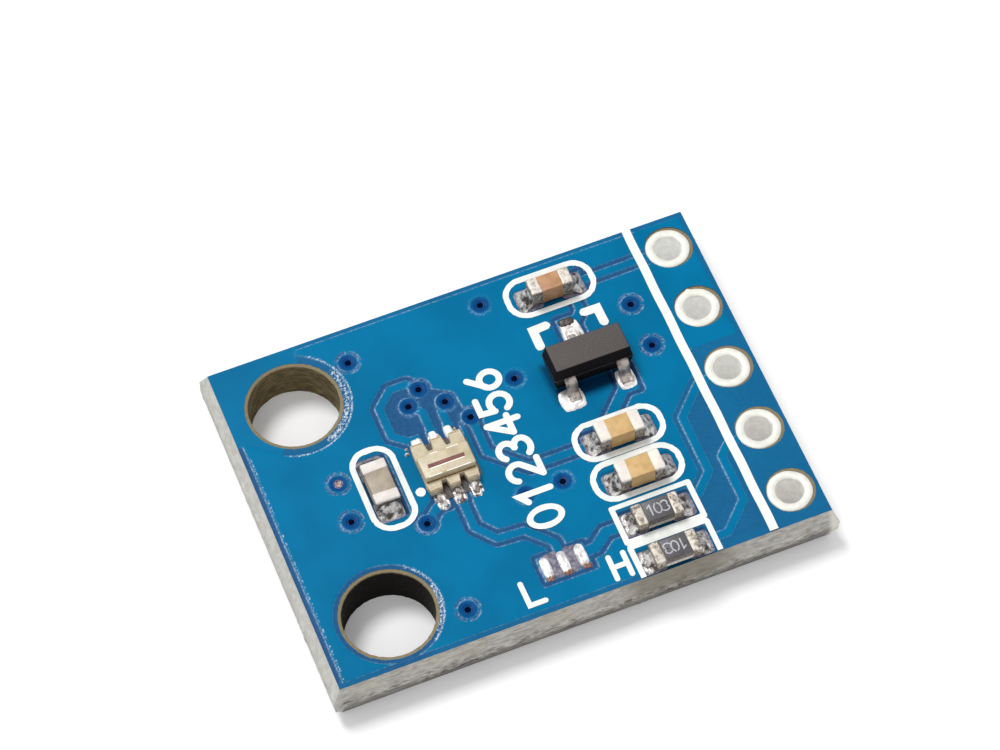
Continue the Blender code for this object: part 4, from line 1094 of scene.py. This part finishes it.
fillet = {"steps": 12, "across": 15, "reach": 0.44, "half": 0.44, "lump": 0.016, "sink": 0.03}
capForm = {"capacitor": 0.4, "resistor": 0.36, "inset": 0.1, "radius": 0.06, "wave": 0.012}


def makeFillet(face, half, height, lumps):  # a concave pool of solder on the +X side of an end cap
    rows = []
    for k in range(fillet["steps"] + 1):
        t = k / fillet["steps"]
        x = face - 0.06 + (fillet["reach"] + 0.06) * t
        rise = height * (1 - t) ** 1.5 * 0.84 + 0.012
        spread = half - 0.02 + (fillet["half"] - half + 0.02) * min(1, t * 1.6)
        row = []
        for j in range(fillet["across"] + 1):
            v = -1 + 2 * j / fillet["across"]
            crown = max(0.0, 1 - abs(v) ** 3.0)
            lump = lumps[k, j] * fillet["lump"] * (1 - abs(v))
            tip = 1 - 0.22 * max(0, (t - 0.5) / 0.5) ** 2 * v * v
            lift = (rise + lump) * (0.25 + 0.75 * crown) * (1 - 0.6 * (t > 0.98))
            row.append((x * tip + face * (1 - tip), v * spread, top - fillet["sink"] + lift))
        rows.append(row)
    return rows


def makeChip(name, spec):
    centre, length, width, height, turn, finish, capFinish = spec
    capStart = length / 2 - capForm[name.split("_")[0]]
    z0, z1 = top + seat, top + seat + height
    body = Shape()
    endX, endY = length / 2 - capForm["inset"], width / 2 - 0.015
    rows = softBox(-endX, -endY, z0 + 0.02, endX, endY, z1 - 0.012, 0.03, 2)
    body.rings([turned(row, centre, turn) for row in rows])
    addPiece(name + "Block", body, finish, slotOf(name + "_body"), (name + "_body",))
    for letter, side in (("a", 180), ("b", 0)):
        cap = Shape()
        rows = softBox(capStart, -width / 2, z0, length / 2, width / 2, z1, capForm["radius"], 4)
        size, phase, _ = capForm["wave"] * rng.normal(size=3)
        for row in rows:
            bent = []
            for x, y, z in row:
                bent.append((x + (size * math.sin(4 * y + phase * 50) if x < capStart + 0.07 else 0), y, z))
            row[:] = bent
        cap.rings([turned(row, centre, turn + side) for row in rows])
        addPiece(name + "End" + letter.upper(), cap, capFinish, "tin", (name + "_cap_" + letter,))
        pool = Shape()
        lumps = rng.normal(size=(fillet["steps"] + 1, fillet["across"] + 1))
        lumps = (lumps + np.roll(lumps, 1, 0) + np.roll(lumps, 1, 1)) / 1.7
        rows = makeFillet(length / 2, width / 2, height, lumps)
        pool.sheet([turned(row, centre, turn + side) for row in rows])
        # The far pool of the turned chip is painted dark
        addPiece(name + "Solder" + letter.upper(), pool, darkMatte if turn and side == 0 else solder, "tin")


def slotOf(node):
    return next(s["material_slot"] for s in frame["record"]["subparts"] if s["node"] == node)


for chipName, chipSpec in chips.items():
    makeChip(chipName, chipSpec)
print("chip parts set")


# Solder pools, lead tips and other low mounds
moundForm = {"low": top - 0.03, "count": 14, "round": 0.3, "flat": 0.55}


def dome(shape, x0, y0, x1, y1, height, power, lump=0.0, lean=(0.0, 0.0)):
    low, count = moundForm["low"], moundForm["count"]
    noise = rng.normal(size=(count + 1, count + 1))
    noise = (noise + np.roll(noise, 1, 0) + np.roll(noise, 1, 1) + np.roll(noise, (1, 1), (0, 1))) / 2
    rows = []
    for j in range(count + 1):
        v = -1 + 2 * j / count
        row = []
        for i in range(count + 1):
            u = -1 + 2 * i / count
            lift = (1 - abs(u) ** power) * (1 - abs(v) ** power)
            x = (x0 + x1) / 2 + u * math.sqrt(1 - moundForm["round"] * v * v) * (x1 - x0) / 2
            y = (y0 + y1) / 2 + v * math.sqrt(1 - moundForm["round"] * u * u) * (y1 - y0) / 2
            tall = height * (1 + lean[0] * u + lean[1] * v)
            row.append((x, y, low + tall * lift ** moundForm["flat"] + lump * noise[j, i] * lift))
        rows.append(row)
    return shape.sheet(rows)


def mounds(name, parts, material, replaces=()):  # box, height, power, lumps and lean of each
    shape = Shape()
    for part in parts:
        dome(shape, *part)
    return addPiece(name, shape, material, "tin", replaces)


def strips(name, boxes, z, material, slot="clear_resin"):  # thin flat lines of colour
    shape = Shape()
    for x0, y0, x1, y1, *lift in boxes:
        level = z + sum(lift)
        shape.add([(x0, y0, level), (x1, y0, level), (x1, y1, level), (x0, y1, level)], [(0, 1, 2, 3)])
    return addPiece(name, shape, material, slot, (), False)


# Light sensor
lens = {
    "x": (-3.36, -1.56), "far": 1.0, "near": -0.88, "shelf": 0.34, "ridge": (-0.5, 0.38), "tall": 0.58,
    "fingers": ((-3.36, -2.85), (-2.66, -2.22), (-2.04, -1.58)), "centres": (-3.03, -2.43, -1.83),
}
stripe = {"x": -3.1, "length": 1.27, "near": -0.155, "far": -0.015, "count": 26}  # the die seen through the resin
# Lead tips: x, end, width, height
nearTips = ((-3.03, -1.42, 0.35, 0.15), (-2.43, -1.5, 0.27, 0.16), (-1.85, -1.36, 0.32, 0.15))
farTips = ((-3.04, 1.36, 0.36, 0.15), (-2.44, 1.46, 0.3, 0.15), (-1.9, 1.48, 0.32, 0.15))


def fingerOutline():
    x0, x1 = lens["x"]
    (_, a1), (b0, b1), (c0, c1) = lens["fingers"]
    near, far = lens["near"], lens["far"]
    return [
        (x0 + 0.04, near), (a1 - 0.05, near), (a1, -0.66), (a1 + 0.02, -0.56), (b0 - 0.01, -0.56), (b0, -0.66),
        (b0 + 0.05, near), (b1 - 0.05, near), (b1, -0.66), (b1 + 0.01, -0.56), (c0 - 0.01, -0.56), (c0, -0.66),
        (c0 + 0.05, near), (c1 - 0.02, near), (x1, -0.6), (x1, 0.7), (c1, far), (c0 + 0.04, far), (c0, 0.68),
        (c0 - 0.02, 0.6), (b1 + 0.02, 0.6), (b1, 0.68), (b1 - 0.04, far), (b0 + 0.04, far), (b0, 0.68),
        (b0 - 0.02, 0.6), (a1 + 0.02, 0.6), (a1, 0.68), (a1 - 0.04, far), (x0 + 0.03, far), (x0, 0.7), (x0, -0.6),
    ]


def makeSensor():
    x0, x1 = lens["x"]
    shelfTop = top + lens["shelf"]
    outline = [fingerOutline()]
    flatPiece("sensorShelf", outline, top + 0.02, shelfTop, creamResin, ("sensor_body",), 0.028)
    block = Shape()
    near, far = lens["ridge"]
    block.rings(softBox(x0 + 0.01, near, shelfTop - 0.05, x1 - 0.01, far, top + lens["tall"], 0.06, 4))
    addPiece("sensorBlock", block, creamResin, "clear_resin")
    z = top + lens["tall"] + 0.001
    count = stripe["count"]
    xs = [stripe["x"] + stripe["length"] * i / count for i in range(count + 1)]
    lower = [(x, stripe["near"] - 0.012 * (i % 2), z) for i, x in enumerate(xs)]
    upper = [(x, stripe["far"] + 0.008 * (i % 2), z) for i, x in enumerate(xs)]
    addPiece("sensorStripe", Shape().sheet([lower, upper]), dieBrown, "die", ("sensor_die",), False)
    glints = [(-3.07, -0.195, -1.86, -0.165)]
    glints += [(a, 0.325, b, 0.352) for a, b in ((-2.89, -2.62), (-2.32, -1.89))]
    glints += [(a, -0.478, b, -0.448) for a, b in ((-3.22, -2.75), (-2.59, -1.75))]
    strips("sensorGlints", glints, z, glintWhite)
    lines = []
    for a, b in lens["fingers"]:
        lines += [(a + 0.07, -0.862, b - 0.07, -0.832), (a + 0.07, 0.93, b - 0.07, 0.955)]
    # Painted shade: lines along the foot of the block, where it meets the shelf
    lines += [(x0 + 0.03, a, x1 - 0.03, b) for a, b in ((-0.545, -0.5), (0.385, 0.41))]
    strips("sensorLines", lines, shelfTop + 0.001, amberLine)
    # Painted shade: dark strips in the notches between the fingers and beside the body's right side
    notches = []
    for a, b in ((-2.87, -2.63), (-2.24, -2.02)):
        notches += [(a, -1.15, b, -0.55, 0.012), (a, 0.58, b, 1.02, 0.03)]
    notches.append((-1.58, -0.7, -1.45, 0.82, 0.003))
    strips("sensorShadeStrips", notches, top, darkMatte, "tin")
    pools = []
    for x in lens["centres"]:
        pools += [(x - 0.24, -1.5, x + 0.24, -0.7, 0.05, 4, 0.012), (x - 0.22, 0.8, x + 0.22, 1.42, 0.045, 4, 0.01)]
    mounds("sensorPools", pools, solder)
    for side, finish, tips in (("Near", leadTin, nearTips), ("Far", tipWhite, farTips)):
        parts = []
        for x, end, width, height in tips:
            if side == "Near":
                parts.append((x - width * 0.4, end, x + width * 0.4, -0.82, height, 3.2, 0.01, (0, 0.35)))
            else:
                parts.append((x - width / 2, 0.9, x + width / 2, end, height, 3.2, 0.006, (0, -0.2)))
        leads = [f"sensor_lead_{side.lower()}_{name}" for name in ("left", "middle", "right")]
        mounds(f"sensor{side}Leads", parts, finish, leads)
    mounds("sensorSpatter", [(-3.56, 0.84, -3.38, 0.98, 0.13, 2), (-3.5, 1.06, -3.36, 1.16, 0.07, 2)], leadTin)


# Regulator
power = {
    "centre": (3.3, 1.86), "half": (1.39, 0.61), "lift": 0.06, "tall": 1.1,
    "leads": {
        "regulator_lead_near_left": (-0.88, -1), "regulator_lead_near_right": (0.97, -1),
        "regulator_lead_far": (0.02, 1),
    },
    "leadHalf": 0.2, "leadGauge": 0.06,
}
powerPools = (  # box, height, power, lumps, lean
    (1.87, 0.34, 2.78, 1.25, 0.08, 9, 0.014, (-0.1, 0.1)), (2.1, 0.46, 2.66, 1.15, 0.15, 3, 0.015),
    (3.93, 0.42, 4.6, 1.3, 0.07, 9, 0.012, (0.1, 0.1)), (4.02, 0.5, 4.54, 1.2, 0.15, 3, 0.015),
    (2.93, 2.4, 3.68, 3.76, 0.07, 9, 0.01, (0, -0.1)), (3.02, 2.5, 3.6, 3.5, 0.17, 3, 0.01, (0, -0.3)),
)


def makeRegulator():
    cx, cy = power["centre"]
    hx, hy = power["half"]
    low, high = top + power["lift"], top + power["tall"]
    middle = (low + high) / 2
    levels = [
        (0.09, low), (0.07, low + 0.03), (0.0, middle - 0.06), (0.0, middle - 0.045), (-0.008, middle - 0.04),
        (-0.008, middle + 0.04), (0.0, middle + 0.045), (0.075, high - 0.06), (0.09, high - 0.02), (0.115, high),
    ]
    rows = []
    for inset, z in levels:
        outline = roundedPoints(cx - hx + inset, cy - hy + inset, cx + hx - inset, cy + hy - inset, 0.06, 5)
        rows.append([(x, y, z) for x, y in outline])
    body = Shape().rings(rows)
    sharpen(addPiece("regulatorBody", body, resin, "dark_resin", ("regulator_body",)))
    half, gauge = power["leadHalf"], power["leadGauge"]
    ends = [(-half, -1), (half, -1), (half, 0.6), (half - 0.03, 1), (-half + 0.03, 1), (-half, 0.6)]
    for name, (dx, side) in power["leads"].items():
        x = cx + dx
        face = cy + side * hy
        rise = middle - top
        path = [(-0.1, rise), (0.08, rise), (0.15, rise - 0.03), (0.2, rise - 0.1)]
        path += [(0.27, 0.2), (0.33, 0.12), (0.4, 0.085), (0.6, 0.075)]
        rows = []
        for k, (out, up) in enumerate(path):
            a, b = path[max(k - 1, 0)], path[min(k + 1, len(path) - 1)]
            tilt = Vector((b[0] - a[0], b[1] - a[1])).normalized()
            ox, oz = -tilt.y * gauge, tilt.x * gauge
            rows.append([(x + u * -side, face + side * (out + ox * v), top + up + oz * v) for u, v in ends])
        leadName = "lead" + name[15:].title().replace("_", "")
        sharpen(addPiece(leadName, Shape().rings(rows), leadGrey, "tin", (name,)))
    mounds("regulatorSolder", powerPools, poolBright)
    # A dark patch on top of the far lead's pool
    mounds("regulatorDarkPatch", [(2.98, 3.46, 3.56, 3.82, 0.1, 4, 0.004)], darkMatte)


def sharpen(obj, angle=35):
    mesh = obj.data
    shape = bmesh.new()
    shape.from_mesh(mesh)
    for bend in shape.edges:
        bend.smooth = len(bend.link_faces) == 2 and bend.calc_face_angle(0) < math.radians(angle)
    shape.to_mesh(mesh)
    shape.free()


# Bridge pads with solder: boxes of the bars, which are painted highlights on the solder, and the stains at their near
# ends
bridgeBars = ((-1.02, -5.2, -0.66, -4.3), (-0.42, -5.2, -0.06, -4.28), (0.18, -5.16, 0.58, -4.26))
bridgeStains = (-0.86, -0.24, 0.4)


def makeBridges():
    mounds("bridgeGround", [(-1.12, -5.24, 0.66, -4.2, 0.034, 9, 0.003)], fluxGrey)
    # The near-white bars are painted highlights on the grey solder
    mounds("bridgeBars", [(*box, 0.085, 3.0, 0.012, (-0.1, 0.0)) for box in bridgeBars], barGlint)
    mounds("bridgeFlux", [(x - 0.16, -5.25, x + 0.2, -5.04, 0.075, 3, 0.02) for x in bridgeStains], fluxBrown)


makeSensor()
makeRegulator()
makeBridges()
print("sensor and regulator set")


# Dark glaze with plain value numbers
code = {"text": "103", "size": 0.38, "pitch": 0.255, "line": 0.05, "shift": (0.36, 0.19)}


def makeGlazes():
    for name, turn in (("resistor_upper", 0), ("resistor_lower", 180)):
        (x, y), _, width, height, *_ = chips[name]
        z = top + seat + height - 0.01
        rows = softBox(x - 0.44, y - width / 2 + 0.035, z - 0.03, x + 0.46, y + width / 2 - 0.045, z + 0.022, 0.02, 3)
        addPiece(name + "Glaze", Shape().rings(rows), glaze, "glaze", (name + "_glaze",))
        shiftX, shiftY = (-shift if turn == 0 else shift for shift in code["shift"])
        paths = numberPaths(code["text"], x + shiftX, y + shiftY, code["size"], code["pitch"], turn)
        for i, path in enumerate(paths):
            outline = [strokePoints(path, code["line"])]
            flatPiece(f"{name}Number{i + 1}", outline, z + 0.02, z + 0.03, codeInk)


makeGlazes()

for name, obj in frame["nodes"].items():  # nodes that keep their CAD shape
    if name in ("ground_copper", "jumper_pad_left", "solder_mask_bottom") or name.startswith("trace_"):
        for place in obj.material_slots:
            place.material = maskUnder if name == "solder_mask_bottom" else copper


# Plated pads under the chips, so that openings show tin and not a gap
padForm = {"inner": 0.42, "outer": 0.45, "half": 0.45, "radius": 0.16, "lift": 0.004}


def makePads():
    sheet = Shape()
    half = padForm["half"]
    for (x, y), length, _, _, turn, *_ in chips.values():
        for side in (-1, 1):
            a, b = sorted((side * (length / 2 - padForm["inner"]), side * (length / 2 + padForm["outer"])))
            x0, y0, x1, y1 = (-half, a, half, b) if turn else (a, -half, b, half)
            row = roundedPoints(x0 + x, y0 + y, x1 + x, y1 + y, padForm["radius"], 5)
            sheet.add([(px, py, top + padForm["lift"]) for px, py in row], [tuple(range(len(row)))])
    addPiece("padSheets", sheet, fluxGrey, "tin", (), False)


makePads()
